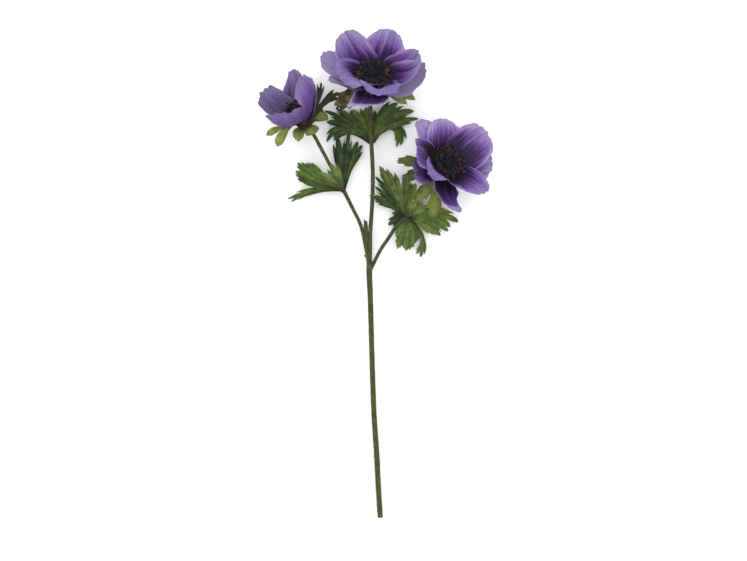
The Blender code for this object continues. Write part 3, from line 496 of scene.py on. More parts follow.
# Each stem piece: its points, its head, and the length of stem that one turn of tape takes up.
STEMS = {
    "main_stem": (MAIN_STEM, "top", 11.0),
    "left_side_stem": (LEFT_STEM, "left", 9.0),
    "right_side_stem": (RIGHT_STEM, "right", 9.0),
}
# Height of the lapped edge of the tape, and the fall across its width.
TAPE_RIDGE = 0.07
TAPE_SLOPE = 0.03
# Knots of tape on the stems: centre line points and radius. The first is the binding's end at the fork.
TAPE_ENDS = {
    "left_side_stem": (
        (
            (-6.0, 30.0, 10.6, 1.2),
            (-6.4, 38.0, 11.2, 1.7),
            (-6.8, 45.0, 11.7, 1.9),
            (-7.2, 51.0, 12.3, 1.9),
            (-6.8, 55.0, 13.2, 0.9),
        ),
        ((-7.2, 49.0, 12.0, 1.2), (-8.0, 53.5, 12.6, 0.8), (-8.9, 56.5, 12.8, 0.35)),
        ((-5.5, 21.0, 10.2, 0.8), (-7.6, 22.6, 10.5, 0.7), (-8.5, 23.6, 10.7, 0.35)),
    ),
    "main_stem": (((2.0, -164.0, 4.0, 0.9), (0.4, -162.6, 4.2, 0.7), (-0.1, -162.2, 4.2, 0.35)),),
}


def leaf(height, slope, sag, fold, heading, *lobes):
    """Numbers of one leaf."""
    return dict(height=height, slope=slope, sag=sag, fold=fold, heading=heading, lobes=lobes)


# Leaves grow from nodes on the stems, some over the stem and some under it, in thin layers.
# height, slope and sag give the rise and droop of a leaf; fold creases it along its heading.
# A lobe runs from its start past a bend to its tip, all measured from the node, and has a width.
WHORLS = {
    "top": dict(node=(-2.3, 126.7), height=15.0),
    "left": dict(node=(-27.9, 83.7), height=13.8),
    "right": dict(node=(29.7, 58.1), height=13.0),
}
FRONT = 2.55
LEAF_LAYER = 0.95
LEAVES = {
    ("top", "right"): leaf(
        -FRONT, 0.15, 0.007, 0.04, 40,
        ((0.5, 0.5), (12, 29), (39.9, 30.5), 14),
        ((0.5, 0.5), (14, 22), (44.6, 23.5), 11),
        ((6, 8), (18, 22), (37.3, 18.6), 8),
        ((3, 4), (7, 30), (25, 37), 13),
    ),
    ("top", "drooping"): leaf(
        -FRONT - 3 * LEAF_LAYER, -0.05, 0.0064, 0.05, 20,
        ((0.5, 0.5), (12, 22), (24, 16.5), 5.5),
        ((14, 14.5), (30, 19), (27.6, -1.8), 8.5),
        ((19, 15.5), (28, 14), (23.4, -3.2), 5),
    ),
    ("top", "left"): leaf(
        -FRONT - LEAF_LAYER, 0.08, 0.0045, -0.1, 150,
        ((-0.5, 0.5), (-16, 20), (-42.7, 31), 9),
        ((-8, 8), (-18, 26), (-33, 33), 5),
        ((-0.5, 0.5), (-22, 20), (-41.7, 19.9), 12),
        ((-8, 6), (-34, 22), (-40.6, 1.4), 8),
        ((-10, 7), (-28, 14), (-34.6, 2.6), 5.5),
    ),
    ("top", "back"): leaf(
        -FRONT - 2 * LEAF_LAYER, -0.02, 0.006, 0.05, 95,
        ((-0.5, 0.8), (-5, 18), (-19, 31), 13),
        ((0.0, 0.8), (0, 18), (-5, 34), 13),
        ((0.5, 0.8), (7, 18), (13, 32), 13),
    ),
    ("left", "upper"): leaf(
        FRONT, 0.15, 0.006, 0.12, 160,
        ((0.0, 1.0), (-22, 8), (-42.3, 25), 12),
        ((0.0, 1.0), (-24, 5), (-44, 17.8), 13),
        ((-12, 5), (-24, 16), (-34, 24), 9),
    ),
    ("left", "lower"): leaf(
        -FRONT, -0.03, 0.0034, 0.05, 185,
        ((-0.5, -0.5), (-24, 4), (-52.4, -8.4), 7),
        ((-10, 0.5), (-30, 3), (-49.0, -11), 5),
        ((-0.5, -0.5), (-14, 2), (-28, 3.2), 8),
    ),
    ("left", "middle"): leaf(
        FRONT + LEAF_LAYER, 0.35, 0.009, 0.25, 130,
        ((0.5, -2.0), (-8, 8), (-22, 15), 13),
        ((0.5, -1.0), (-5, 12), (-12, 23), 11),
    ),
    ("left", "back"): leaf(
        -FRONT - LEAF_LAYER, -0.12, 0.0006, 0.05, 80,
        ((0.2, 0.5), (-3, 24), (-5.2, 50.5), 12),
        ((0.8, 0.5), (2, 30), (5.3, 54), 8),
        ((0.8, 0.5), (6, 28), (13.4, 45.5), 10),
        ((3.0, 10), (8, 28), (17.4, 42), 8),
        ((3.0, 10), (6, 26), (14.6, 35.6), 8),
    ),
    ("right", "fan"): leaf(
        FRONT, 0.30, 0.005, 0.12, 115,
        ((0.0, 0.5), (-12, 24), (-24.2, 47.3), 9),
        ((0.0, 0.5), (-9, 24), (-17.5, 44.5), 8),
        ((0.0, 0.5), (-6, 24), (-10.5, 42), 8),
        ((0.5, 0.5), (0, 22), (0.5, 39.5), 11),
        ((0.5, 0.5), (4, 16), (5.5, 32), 8),
    ),
    ("right", "left"): leaf(
        -FRONT - LEAF_LAYER, 0.12, 0.005, 0.05, 135,
        ((-0.5, 0.5), (-14, 24), (-28.1, 38.2), 6.5),
        ((-0.5, 0.5), (-14, 18), (-28.4, 29.1), 7),
        ((-6, 6.5), (-20, 18), (-33.7, 20.6), 5),
        ((-6, 5.5), (-18, 13), (-28.6, 15.6), 5),
    ),
    ("right", "blade"): leaf(
        FRONT + LEAF_LAYER, 0.36, 0.002, 0.1, 65,
        ((1.0, 0.5), (8, 14), (16.5, 31), 10),
        ((1.0, 0.5), (6, 16), (9.0, 31.5), 9),
        ((1.0, 0.5), (12, 8), (20.4, 10.4), 8),
    ),
    ("right", "right"): leaf(
        -FRONT, 0.30, 0.008, 0.15, -5,
        ((0.5, -0.5), (26, 10), (48.9, -3.8), 12),
        ((0.5, -0.5), (24, 4), (41.5, -8.2), 11),
        ((0.5, -0.5), (22, 0), (39.8, -12.4), 9),
        ((4, -1.5), (18, -4), (32.1, -16.6), 9),
        ((6, -2), (14, -4), (28.4, -16.2), 8),
        ((6, 0), (20, 8.5), (36, 7.4), 9),
    ),
    ("right", "lower"): leaf(
        FRONT, 0.1, 0.011, 0.1, -90,
        ((0.5, -0.5), (5, -16), (0.0, -30.6), 13),
        ((0.5, -0.5), (-1, -14), (-8.2, -29.2), 8),
        ((0.5, -0.5), (-2, -10), (-8.4, -18.6), 8),
        ((0.5, -0.5), (8, -12), (8.5, -24), 9),
    ),
    ("right", "tail"): leaf(
        -FRONT - 1.8 * LEAF_LAYER, 0.0, 0.0055, 0.05, -65,
        ((0.5, -0.5), (14, -8), (17.0, -27), 5.5),
        ((13.0, -12), (19, -24), (13.4, -36.4), 6.5),
        ((14.5, -18), (16, -27), (9.8, -33.6), 5),
    ),
    ("right", "small"): leaf(
        -FRONT - 2.7 * LEAF_LAYER, 0.0, 0.01, 0.05, 190,
        ((-0.5, 0.3), (-7, 4), (-12.6, 4.5), 6),
        ((-0.5, 0.0), (-9, 0), (-15.8, -6.8), 8),
    ),
}


def smooth_step(x):
    """Ease from 0 to 1 as x goes from 0 to 1."""
    x = np.clip(x, 0.0, 1.0)
    return x * x * (3.0 - 2.0 * x)


def unit(vector):
    """A vector scaled to length 1."""
    return vector / np.linalg.norm(vector)


def units(vectors):
    """Rows of vectors scaled to length 1."""
    return vectors / np.maximum(np.linalg.norm(vectors, axis=-1, keepdims=True), 1e-9)


def head_frame(head):
    """Centre, two directions in the plane of the flower and its axis."""
    axis = unit(np.array(head["axis"]))
    side = unit(np.array([1.0, 0.0, 0.0]) - axis[0] * axis)
    return np.array(head["centre"]), side, np.cross(axis, side), axis


def bowl(whorl, turns, reach, layer):
    """Distance out and height on a whorl's bowl at each turn (radians) and distance from the neck."""
    places = np.radians(whorl["turns"])
    pull = np.exp(whorl["focus"] * (np.cos(turns[..., None] - places) - 1.0))
    pull = pull / pull.sum(-1, keepdims=True)
    base, middle, tip = np.moveaxis(pull @ whorl["rises"], -1, 0)
    steps = np.linspace(0.0, 1.0, ARC_STEPS + 1)
    travel = reach[..., None] * steps
    slope = base[..., None] + (middle - base)[..., None] * smooth_step(travel / BOWL_BEND)
    slope = slope + (tip - middle)[..., None] * smooth_step((travel - BOWL_BEND) / BOWL_LIP)
    slope = np.radians(slope)
    half = 0.5 * reach / ARC_STEPS
    out = (np.cos(slope[..., 1:]) + np.cos(slope[..., :-1])).sum(-1) * half
    rise = (np.sin(slope[..., 1:]) + np.sin(slope[..., :-1])).sum(-1) * half
    wave = WAVE_DEPTH * smooth_step(reach / 40.0) * np.sin(WAVE_COUNT * turns + 0.12 * reach)
    layer = layer + wave
    lean = slope[..., -1] * smooth_step(reach / 6.0)
    return BOWL_START + out - layer * np.sin(lean), whorl["seat"] + rise + layer * np.cos(lean)


def blade_places(blade, whorl, u, v):
    """Turn and reach on the bowl for places on a blade: u across (-1 to 1), v along (0 to 1)."""
    rounded = 1.0 - blade["drop"] * np.abs(u) ** 2.2 * v**2
    along = v * rounded * (1.0 + blade["skew"] * u * v**2)
    claw = blade["claw"] + (1.0 - blade["claw"]) * smooth_step(v / CLAW_LENGTH)
    narrowing = 1.0 - blade["narrow"] * np.clip((v - 0.55) / 0.45, 0.0, 1.0) ** 2
    sideways = 0.5 * blade["width"] * claw * narrowing * u + blade["sway"] * along**2
    middle = np.full(np.shape(u), radians(blade["turn"]))
    reach = blade["length"] * along
    radius, _ = bowl(whorl, middle, reach, 0.0)
    return middle + sideways / np.maximum(radius, BOWL_START), reach


def bowl_points(whorl, turn, reach, layer, frame):
    """Points of a bowl in space."""
    centre, side, up, axis = frame
    out, rise = bowl(whorl, turn, reach, layer)
    flat = out[..., None] * (np.cos(turn)[..., None] * side + np.sin(turn)[..., None] * up)
    return centre + flat + rise[..., None] * axis


def layers(blades):
    """Layer of each blade: one under every earlier blade that it overlaps."""
    levels = []
    for place, blade in enumerate(blades):
        level = 0
        for other in range(place):
            apart = abs((blade["turn"] - blades[other]["turn"] + 180.0) % 360.0 - 180.0)
            if apart < OVERLAP_SPREAD:
                level = max(level, levels[other] + 1)
        levels.append(level)
    return levels


def whorl_blades(name, part, start):
    """A whorl's bowl and its blades with their layers under height start."""
    blades = {key: dict(blade) for key, blade in BLADES[name, part].items()}
    if not blades:
        return None, {}, start
    whorl = dict(
        turns=np.array([float(blade["turn"]) for blade in blades.values()]),
        rises=np.array([blade["rise"] for blade in blades.values()], float),
        focus=FOCUS[part],
        seat=start,
    )
    levels = [0] * len(blades) if part == "bract" else layers(list(blades.values()))
    for blade, level in zip(blades.values(), levels):
        blade["layer"] = -LAYER * level
    return whorl, blades, start - LAYER * (max(levels) + 1)


def sheet_solid(points, normals, faces, rim, thickness):
    """Closed points and faces of a sheet; rim is the loop of its edge, in order."""
    count = len(points)
    top = points + 0.5 * thickness * normals
    bottom = points - 0.5 * thickness * normals
    solid = [tuple(face) for face in faces]
    solid += [tuple(count + corner for corner in reversed(face)) for face in faces]
    for start, end in rim:
        solid.append((end, start, count + start, count + end))
    return np.concatenate([top, bottom]), solid


def grid_solid(grid, thickness):
    """Closed points and faces of a blade grid."""
    index = np.arange(grid.shape[0] * grid.shape[1]).reshape(grid.shape[:2])
    a, b, c, d = index[:-1, :-1], index[:-1, 1:], index[1:, 1:], index[1:, :-1]
    faces = np.stack([a, b, c, a, c, d], axis=-1).reshape(-1, 3)
    loop = np.concatenate([index[0, :-1], index[:-1, -1], index[-1, :0:-1], index[:0:-1, 0]])
    rim = zip(loop, np.roll(loop, -1))
    normals = units(np.cross(np.gradient(grid, axis=1), np.gradient(grid, axis=0)))
    return sheet_solid(grid.reshape(-1, 3), normals.reshape(-1, 3), faces, rim, thickness)


def flat_places(turn, reach):
    """Flat points for places on a bowl."""
    radius = (BOWL_START + reach)[..., None]
    return radius * np.stack([np.cos(turn), np.sin(turn)], axis=-1)


def curve_points(knots, per_span):
    """Points with radius on a smooth line through the knots."""
    knots = [np.array(knot, float) for knot in knots]
    line = []
    for place in range(len(knots) - 1):
        before = knots[max(place - 1, 0)]
        start, end = knots[place], knots[place + 1]
        after = knots[min(place + 2, len(knots) - 1)]
        for step in range(per_span):
            t = step / per_span
            point = 2.0 * start + (end - before) * t
            point = point + (2.0 * before - 5.0 * start + 4.0 * end - after) * t * t
            point = point + (3.0 * start - before - 3.0 * end + after) * t**3
            line.append(0.5 * point)
    line.append(knots[-1])
    return line


def bend_point(start, bend, end, t):
    """Point a share t along a curve that leaves start towards bend and comes to end."""
    return (1 - t) ** 2 * start + 2 * t * (1 - t) * bend + t**2 * end


def circle(middle, radius, side, up, sides):
    """Points of a circle in the plane of two directions."""
    turns = [2.0 * pi * step / sides for step in range(sides)]
    return [middle + radius * (cos(turn) * side + sin(turn) * up) for turn in turns]


def round_points(line, sides):
    """Place, knot, step and way out of each point round a line of (x, y, z, radius)."""
    across = np.array([1.0, 0.0, 0.0])
    for place, knot in enumerate(line):
        ahead = unit(line[min(place + 1, len(line) - 1)][:3] - line[max(place - 1, 0)][:3])
        across = unit(across - (across @ ahead) * ahead)
        over = np.cross(ahead, across)
        for step, outward in enumerate(circle(0.0, 1.0, across, over, sides)):
            yield place, knot, step, outward


def ring_faces(rings, sides):
    """Faces of a tube whose points are rings of the same number of sides."""
    faces = []
    for place in range(rings - 1):
        for step in range(sides):
            a, b = place * sides + step, place * sides + (step + 1) % sides
            faces.append((a, b, b + sides, a + sides))
    return faces


def tube_faces(rings, sides):
    """Faces of a closed tube: its ends and its wall."""
    ends = [tuple(range(sides - 1, -1, -1)), tuple(range((rings - 1) * sides, rings * sides))]
    return ends + ring_faces(rings, sides)


def thin_tube(line, radii, sides):
    """Closed points and faces of a thin tube along points."""
    line = np.asarray(line, float)
    ahead = units(np.gradient(line, axis=0))
    guide = np.array([0.0, 0.0, 1.0]) if abs(ahead[0][2]) < 0.9 else np.array([1.0, 0.0, 0.0])
    points = []
    for place in range(len(line)):
        across = unit(np.cross(ahead[place], guide))
        points += circle(line[place], radii[place], across, np.cross(ahead[place], across), sides)
    return points, tube_faces(len(line), sides)


def gather(parts):
    """Join (points, faces, kind) parts into one set, with a kind for each face."""
    points, faces, kinds = [], [], []
    for part_points, part_faces, kind in parts:
        start = len(points)
        points += [tuple(point) for point in part_points]
        faces += [tuple(start + corner for corner in face) for face in part_faces]
        kinds += [kind] * len(part_faces)
    return points, faces, kinds


def stem_line(knots, name, bottom, per_span):
    """Centre line of a stem, ending square under the neck of its head."""
    centre, _, _, axis = head_frame(HEADS[name])
    ends = [tuple(centre + (bottom - GAP - back) * axis) + (knots[-1][3],) for back in STEM_TIP]
    return curve_points(knots + tuple(ends), per_span)


def inside_points(outline, spacing):
    """Grid points that lie inside an outline."""
    outline = np.array(outline)
    low, high = outline.min(axis=0), outline.max(axis=0)
    after = np.roll(outline, -1, axis=0)
    found = []
    for x in np.arange(low[0] // spacing * spacing, high[0], spacing):
        for y in np.arange(low[1] // spacing * spacing, high[1], spacing):
            crosses = (outline[:, 1] > y) != (after[:, 1] > y)
            rise = np.where(crosses, after[:, 1] - outline[:, 1], 1.0)
            at = outline[:, 0] + (y - outline[:, 1]) * (after[:, 0] - outline[:, 0]) / rise
            if np.count_nonzero(crosses & (at > x)) % 2:
                found.append((x, y))
    return found


def tidy_flat(points, faces):
    """Weld near points, drop slivers and part patches that only touch at a point."""
    body = bmesh.new()
    corners = [body.verts.new((x, y, 0.0)) for x, y in points]
    for face in faces:
        body.faces.new([corners[place] for place in face])
    bmesh.ops.remove_doubles(body, verts=body.verts, dist=WELD)
    thin = [face for face in body.faces if face.calc_area() < SLIVER]
    bmesh.ops.delete(body, geom=thin, context="FACES")
    bmesh.ops.delete(body, geom=[vert for vert in body.verts if not vert.link_faces], context="VERTS")
    for vert in list(body.verts):
        open_edges = [edge for edge in vert.link_edges if edge.is_boundary]
        if len(open_edges) > 2:
            for apart in bmesh.utils.vert_separate(vert, open_edges):
                middle = sum((face.calc_center_median() for face in apart.link_faces), Vector())
                apart.co = apart.co.lerp(middle / len(apart.link_faces), 0.15)
    body.verts.index_update()
    flat = np.array([(vert.co.x, vert.co.y) for vert in body.verts])
    kept = [tuple(vert.index for vert in face.verts) for face in body.faces]
    rim = []
    for face in body.faces:
        for loop in face.loops:
            if loop.edge.is_boundary:
                rim.append((loop.vert.index, loop.link_loop_next.vert.index))
    body.free()
    return flat, kept, rim


def fine_triangulate(outlines, ribs, spacing):
    """Flat mesh of the area that outlines cover together, with the midribs as its edges."""
    points, faces, edges = [], [], []
    for outline in outlines:
        faces.append(list(range(len(points), len(points) + len(outline))))
        points += [tuple(point) for point in outline]
    for rib in ribs:
        edges += [(len(points) + place, len(points) + place + 1) for place in range(len(rib) - 1)]
        points += [tuple(point) for point in rib]
    for outline in outlines:
        points += inside_points(outline, spacing)
    result = delaunay_2d_cdt([Vector(point) for point in points], edges, faces, 1, NEAR)
    return np.array([tuple(point) for point in result[0]]), [tuple(face) for face in result[2]]


def rib_places(flat, ribs):
    """Distance to the nearest midrib, how far along it, share of its length, side of it for painted fold
    light, and which it is.
    """
    best = np.full((5, len(flat)), 1e9)
    for number, rib in enumerate(ribs):
        rib = np.array(rib)
        whole = np.linalg.norm(np.diff(rib, axis=0), axis=1).sum()
        gone = 0.0
        for start, end in zip(rib[:-1], rib[1:]):
            step = end - start
            length = max(np.linalg.norm(step), 1e-9)
            share = np.clip(((flat - start) @ step) / length**2, 0.0, 1.0)
            gap = np.linalg.norm(flat - start - share[:, None] * step, axis=1)
            along = gone + share * length
            across = (flat - start) @ np.array([-step[1], step[0]]) / length
            hand = np.clip(across / 0.8, -1.0, 1.0)
            found = np.stack([gap, along, along / whole, hand, np.full(len(flat), number)])
            best = np.where(gap < best[0], found, best)
            gone += length
    return best


def wobble(x, seed, waves=4, base=1.0):
    """Smooth repeatable noise between about -1 and 1."""
    rng = np.random.default_rng(seed)
    total = np.zeros(np.shape(x))
    for place in range(waves):
        wave = np.sin(base * (1.0 + 0.73 * place) * x + rng.uniform(0.0, 2.0 * pi))
        total = total + wave / (1.0 + 0.5 * place)
    return total / 2.1


def seed_of(name):
    """Repeatable number for a piece's name."""
    return sum((place + 1) * ord(letter) for place, letter in enumerate(name))


def add_piece(node, points, faces, materials, attributes=None, uvs=None, kinds=None):
    """Make the shaded piece, in millimetres, that stands for a CAD node.

    An attribute or UV layer shorter than the points is repeated: once for each side of a sheet.
    """
    name = node + "_look"
    mesh = bpy.data.meshes.new(name)
    places = MM * (np.asarray(points, float) + SHIFT)
    mesh.from_pydata(places.tolist(), [], [tuple(int(corner) for corner in face) for face in faces])
    for label in materials:
        mesh.materials.append(MATERIAL[label])
    if kinds is not None:
        mesh.polygons.foreach_set("material_index", np.asarray(kinds, dtype=np.int32))
    for label, values in (attributes or {}).items():
        layer = mesh.attributes.new(label, "FLOAT", "POINT")
        layer.data.foreach_set("value", np.resize(values, len(places)).astype(np.float32))
    corners = np.empty(len(mesh.loops), dtype=np.int32)
    mesh.loops.foreach_get("vertex_index", corners)
    for label, values in (uvs or {}).items():
        values = np.resize(values, (len(places), 2)).astype(np.float32)
        mesh.uv_layers.new(name=label).data.foreach_set("uv", values[corners].ravel())
    mesh.shade_smooth()
    mesh.set_sharp_from_angle(angle=radians(60.0))
    piece = bpy.data.objects.new(name, mesh)
    bpy.context.collection.objects.link(piece)
    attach(piece, "root")
    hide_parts(node)


# ---------------------------------------------------------------- petals


def petal_piece(head, key, blade, whorl):
    """One petal: pleated along its veins, with a ragged, softly curled rim."""
    name = f"{head}_petal_{key}"
    seed = seed_of(name)
    look = {**PETAL_LOOK_USUAL, **PETAL_LOOK.get(name, {})}
    blade = {
        **blade,
        "claw": max(blade["claw"], look["claw"]),
        "drop": blade["drop"] + look["drop"],
        "narrow": blade["narrow"] * look["narrow"],
    }
    v, u = np.meshgrid(
        np.linspace(0.0, 1.0, PETAL_ROWS + 1) ** 0.9,
        np.linspace(-1.0, 1.0, PETAL_COLUMNS + 1),
        indexing="ij",
    )
    turn, reach = blade_places(blade, whorl, u, v)
    rim = smooth_step((v - 0.55) / 0.45)
    side = smooth_step((np.abs(u) - 0.7) / 0.3)
    notches = 0.6 * wobble(u, seed, 5, 4.0) + 0.6 * wobble(u, seed + 2, 4, 15.0)
    reach = reach * (1.0 + look["ragged"] * rim * notches)
    reach = reach - FOOT_TUCK * (1.0 - smooth_step(v / 0.08))
    turn = turn + look["wavy"] * side * np.sign(u) * wobble(6.0 * v, seed + 1 + (u > 0), 4, 1.6)
    count, height = FINE_PLEATS
    pleat = height * np.sin(count * turn + 4.0 * wobble(5.0 * turn, 11))
    count, height = BROAD_PLEATS
    pleat = pleat + height * wobble(count * turn, 5, 5, 1.0)
    lift = pleat * smooth_step(reach / 18.0)
    lift = lift - MIDRIB_DEPTH * np.exp(-((u / 0.05) ** 2)) * smooth_step(v / 0.3) * (1.0 - 0.8 * v)
    lift = lift + RIM_CURL * rim * wobble(u, seed + 3, 4, 5.0)
    if blade["layer"] == 0.0:
        edge = np.maximum(rim**2, 0.6 * side)
        lift = lift + look["ruffle"] * edge * wobble(u, seed + 7, 3, look["waves"])
    depth, place, width = look["dip"]
    fold = smooth_step((v - 0.15) / 0.3) * (1.0 - smooth_step((v - 0.72) / 0.28))
    lift = lift - depth * np.exp(-(((u - place) / width) ** 2)) * fold
    grid = bowl_points(whorl, turn, reach, blade["layer"] + lift, head_frame(HEADS[head]))
    points, faces = grid_solid(grid, PETAL_SHEET)
    middle = radians(blade["turn"])
    radius, _ = bowl(whorl, np.full(u.shape, middle), reach, 0.0)
    plan = np.stack([(turn - middle) * radius / PLAN_SIZE, reach / PLAN_SIZE], axis=-1) + seed % 17
    attributes = {
        "inside": np.repeat((0.0, 1.0), u.size),
        **{label: look[label] for label in ("dark", "grey", "shift", "blush", "band", "hem", "pale", "gold")},
        "seed": seed % SEED_RANGE,
    }
    uvs = {"place": np.stack([0.5 * u + 0.5, v], axis=-1), "plan": plan}
    add_piece(name, points, faces, ["petal"], attributes, uvs)


# ---------------------------------------------------------------- centres


def stamen_piece(head):
    """Crown of separate stamens: curved filaments with two-lobed anthers."""
    data = HEADS[head]
    centre, side, up, axis = head_frame(data)
    rng = np.random.default_rng(seed_of(head))
    cone = SEED_CONE_RADIUS * data["size"]
    root = 0.72 * cone
    parts = []
    for place in range(STAMEN_COUNT):
        turn = GOLDEN_TURN * place + rng.uniform(-0.35, 0.35)
        share = (place + 0.5) / STAMEN_COUNT
        share = min(1.0, share**0.8 + rng.uniform(-0.06, 0.06))
        front = data["front"] * max(0.0, -sin(turn)) ** 2
        reach = cone + 0.5 + (data["wide"] * data["crown"] * (1.0 + front) - cone - 0.9) * share
        outward = cos(turn) * side + sin(turn) * up
        around = -sin(turn) * side + cos(turn) * up
        rise = data["rise"] * (1.0 - data["lean"] * max(0.0, sin(turn))) * (reach - cone)
        height = STAMEN_SEAT + rise * (1.0 - data["heap"] * rng.uniform())
        height = height + rng.uniform(-0.6, 1.3) + 2.2 * (1.0 - share)
        drift = rng.uniform(-1.1, 1.1)
        start = centre + root * outward + 1.6 * axis
        end = centre + reach * outward + height * axis + drift * around
        bend = centre + (0.55 * root + 0.45 * reach) * outward + (height * 0.9 + 1.0) * axis
        line = bend_point(start, bend, end, np.linspace(0.0, 1.0, len(FILAMENT_RADII))[:, None])
        parts.append((*thin_tube(line, FILAMENT_RADII, FILAMENT_SIDES), 0))
        tilt = unit(line[-1] - line[-2]) * rng.uniform(0.3, 0.9)
        tilt = unit(tilt + around * rng.uniform(-0.8, 0.8) + axis * rng.uniform(-0.2, 0.6))
        long_half = rng.uniform(0.7, 1.0)
        kind = 1 if share < 0.5 or rng.uniform() > data["pollen"] else 2
        across = np.cross(tilt, axis)
        across = across / max(np.linalg.norm(across), 1e-6)
        for lobe in ANTHER_LOBES:
            steps = np.linspace(-long_half, long_half, len(ANTHER_RADII))
            body = [end + step * tilt + lobe * across for step in steps]
            parts.append((*thin_tube(body, ANTHER_RADII, ANTHER_SIDES), kind))
    points, faces, kinds = gather(parts)
    add_piece(f"{head}_stamens", points, faces, ["filament", "anther", "pollen"], kinds=kinds)


def cone_piece(head, bottom):
    """Seed cone set with small pistils, and the green receptacle under it."""
    data = HEADS[head]
    centre, side, up, axis = head_frame(data)
    dome = SEED_CONE_RADIUS * data["size"]
    pistils = []
    for place in range(PISTIL_COUNT):
        low = 1.0 - 0.98 * (place + 0.5) / PISTIL_COUNT
        turn = GOLDEN_TURN * place
        ring = sqrt(1.0 - low * low)
        pistils.append((ring * cos(turn), ring * sin(turn), low))
    points = []
    for row in range(CONE_ROWS + 1):
        polar = 0.5 * pi * (1.0 - row / CONE_ROWS)
        for step in range(CONE_SIDES):
            turn = 2.0 * pi * step / CONE_SIDES
            ball = np.array([cos(polar) * cos(turn), cos(polar) * sin(turn), sin(polar)])
            near = np.linalg.norm(np.array(pistils) - ball, axis=1).min()
            bump = PISTIL_HEIGHT * max(0.0, 1.0 - (near / PISTIL_WIDTH) ** 2) if row < CONE_ROWS else 0.0
            flat = (dome + bump) * (ball[0] * side + ball[1] * up)
            points.append(centre + flat + (CONE_BASE + CONE_FLATNESS * (dome + bump) * ball[2]) * axis)
    profile = [(radius, bottom + height) for radius, height in CUP_FOOT]
    profile += [(NECK_RADIUS, CUP_TOP)]
    profile += [(share * dome, height) for share, height in CUP_BODY]
    cup = []
    for radius, height in profile:
        cup += circle(centre + height * axis, radius, side, up, CUP_SIDES)
    parts = [(points[::-1], ring_faces(CONE_ROWS + 1, CONE_SIDES), 0)]
    parts.append((cup, ring_faces(len(profile), CUP_SIDES), 1))
    points, faces, kinds = gather(parts)
    add_piece(f"{head}_seed_cone", points, faces, ["seed_cone", "receptacle"], kinds=kinds)


# ---------------------------------------------------------------- leaves and bracts


def add_green(node, points, normals, faces, rim, flat, plan, attributes):
    """Make a leaf or a ring of bracts with what its material reads."""
    marks = np.zeros(len(flat))
    marks[[corner for side in rim for corner in side]] = 1.0
    attributes = {"inside": np.repeat((1.0, 0.0), len(flat)), "edge": marks, **attributes}
    points, faces = sheet_solid(points, units(normals), faces, rim, LEAF_SHEET)
    add_piece(node, points, faces, ["leaf"], attributes, {"plan": flat / PLAN_SIZE + plan})


def toothed(edge, seed, least, steady, spot, tip):
    """Outline of a lobe whose sides differ a little; spot places a share of the half width and length."""
    rng = np.random.default_rng(seed)
    sides = []
    for sign in (1.0, -1.0):
        slip = rng.uniform(-TOOTH_SLIP, TOOTH_SLIP)
        grow = sign * rng.uniform(least, 1.06)
        sides.append([spot(grow * side, along + slip * (along > steady)) for along, side in edge])
    return sides[0] + [tip] + sides[1][::-1]


def fine_lobe(start, bend, tip, width, seed, kind):
    """Toothed outline of a lobe and the points of its midrib."""
    start, bend, tip = (np.array(point, float) for point in (start, bend, tip))

    def spot(side, along):
        along = min(along, 0.985)
        ahead = unit((1 - along) * (bend - start) + along * (tip - bend))
        return bend_point(start, bend, tip, along) + 0.5 * width * side * np.array([ahead[1], -ahead[0]])

    rib = [bend_point(start, bend, tip, t) for t in np.linspace(0.02, 0.96, RIB_POINTS)]
    return toothed(LEAF_EDGES[kind], seed, 0.88, 0.1, spot, tip), rib


def leaf_piece(whorl, name, leaf):
    """One deeply cut, toothed leaf with a crease along each lobe."""
    node = f"{whorl}_leaf_{name}"
    seed = seed_of(node)
    look = {**LEAF_LOOK_USUAL, **LEAF_LOOK.get(node, {})}
    outlines, ribs = [], []
    for place, (start, bend, tip, width) in enumerate(leaf["lobes"]):
        outline, rib = fine_lobe(start, bend, tip, look["wide"] * width, seed + 31 * place, look["edge"])
        outlines.append(outline)
        ribs.append(rib)
    flat, faces, rim = tidy_flat(*fine_triangulate(outlines, ribs, LEAF_SPACING))
    away, along, tip, hand, _ = rib_places(flat, ribs)
    heading = radians(leaf["heading"])

    def height_at(places):
        reach = np.linalg.norm(places, axis=1)
        aside = places @ np.array([-sin(heading), cos(heading)])
        lift = leaf["height"] + leaf["slope"] * reach - leaf["sag"] * reach**2
        lift = lift + leaf["fold"] * (np.sqrt(aside**2 + 4.0) - 2.0)
        wave = 0.5 * wobble(places[:, 0] * 0.23, seed, 3) + 0.5 * wobble(places[:, 1] * 0.21, seed + 5, 3)
        return lift + LEAF_WAVE * wave * smooth_step(reach / 12.0)

    reach = np.linalg.norm(flat, axis=1)
    height = height_at(flat)
    along_x = (height_at(flat + (SLOPE_STEP, 0.0)) - height) / SLOPE_STEP
    along_y = (height_at(flat + (0.0, SLOPE_STEP)) - height) / SLOPE_STEP
    normals = np.column_stack([-along_x, -along_y, np.ones(len(flat))])
    crease = LEAF_CREASE * np.minimum(away / CREASE_WIDTH, 1.0) * smooth_step(reach / 9.0) - LEAF_DROP
    base = WHORLS[whorl]
    points = np.column_stack([flat + np.array(base["node"]), height + base["height"] + crease])
    attributes = {"away": away, "along": along, "hand": hand, "tip": tip, "reach": reach, "shade": 0.0}
    attributes |= {"tone": look["tone"], "olive": look["olive"], "collar": 0.0, "seed": seed % SEED_RANGE}
    add_green(node, points, normals, faces, rim, flat, seed % 13, attributes)


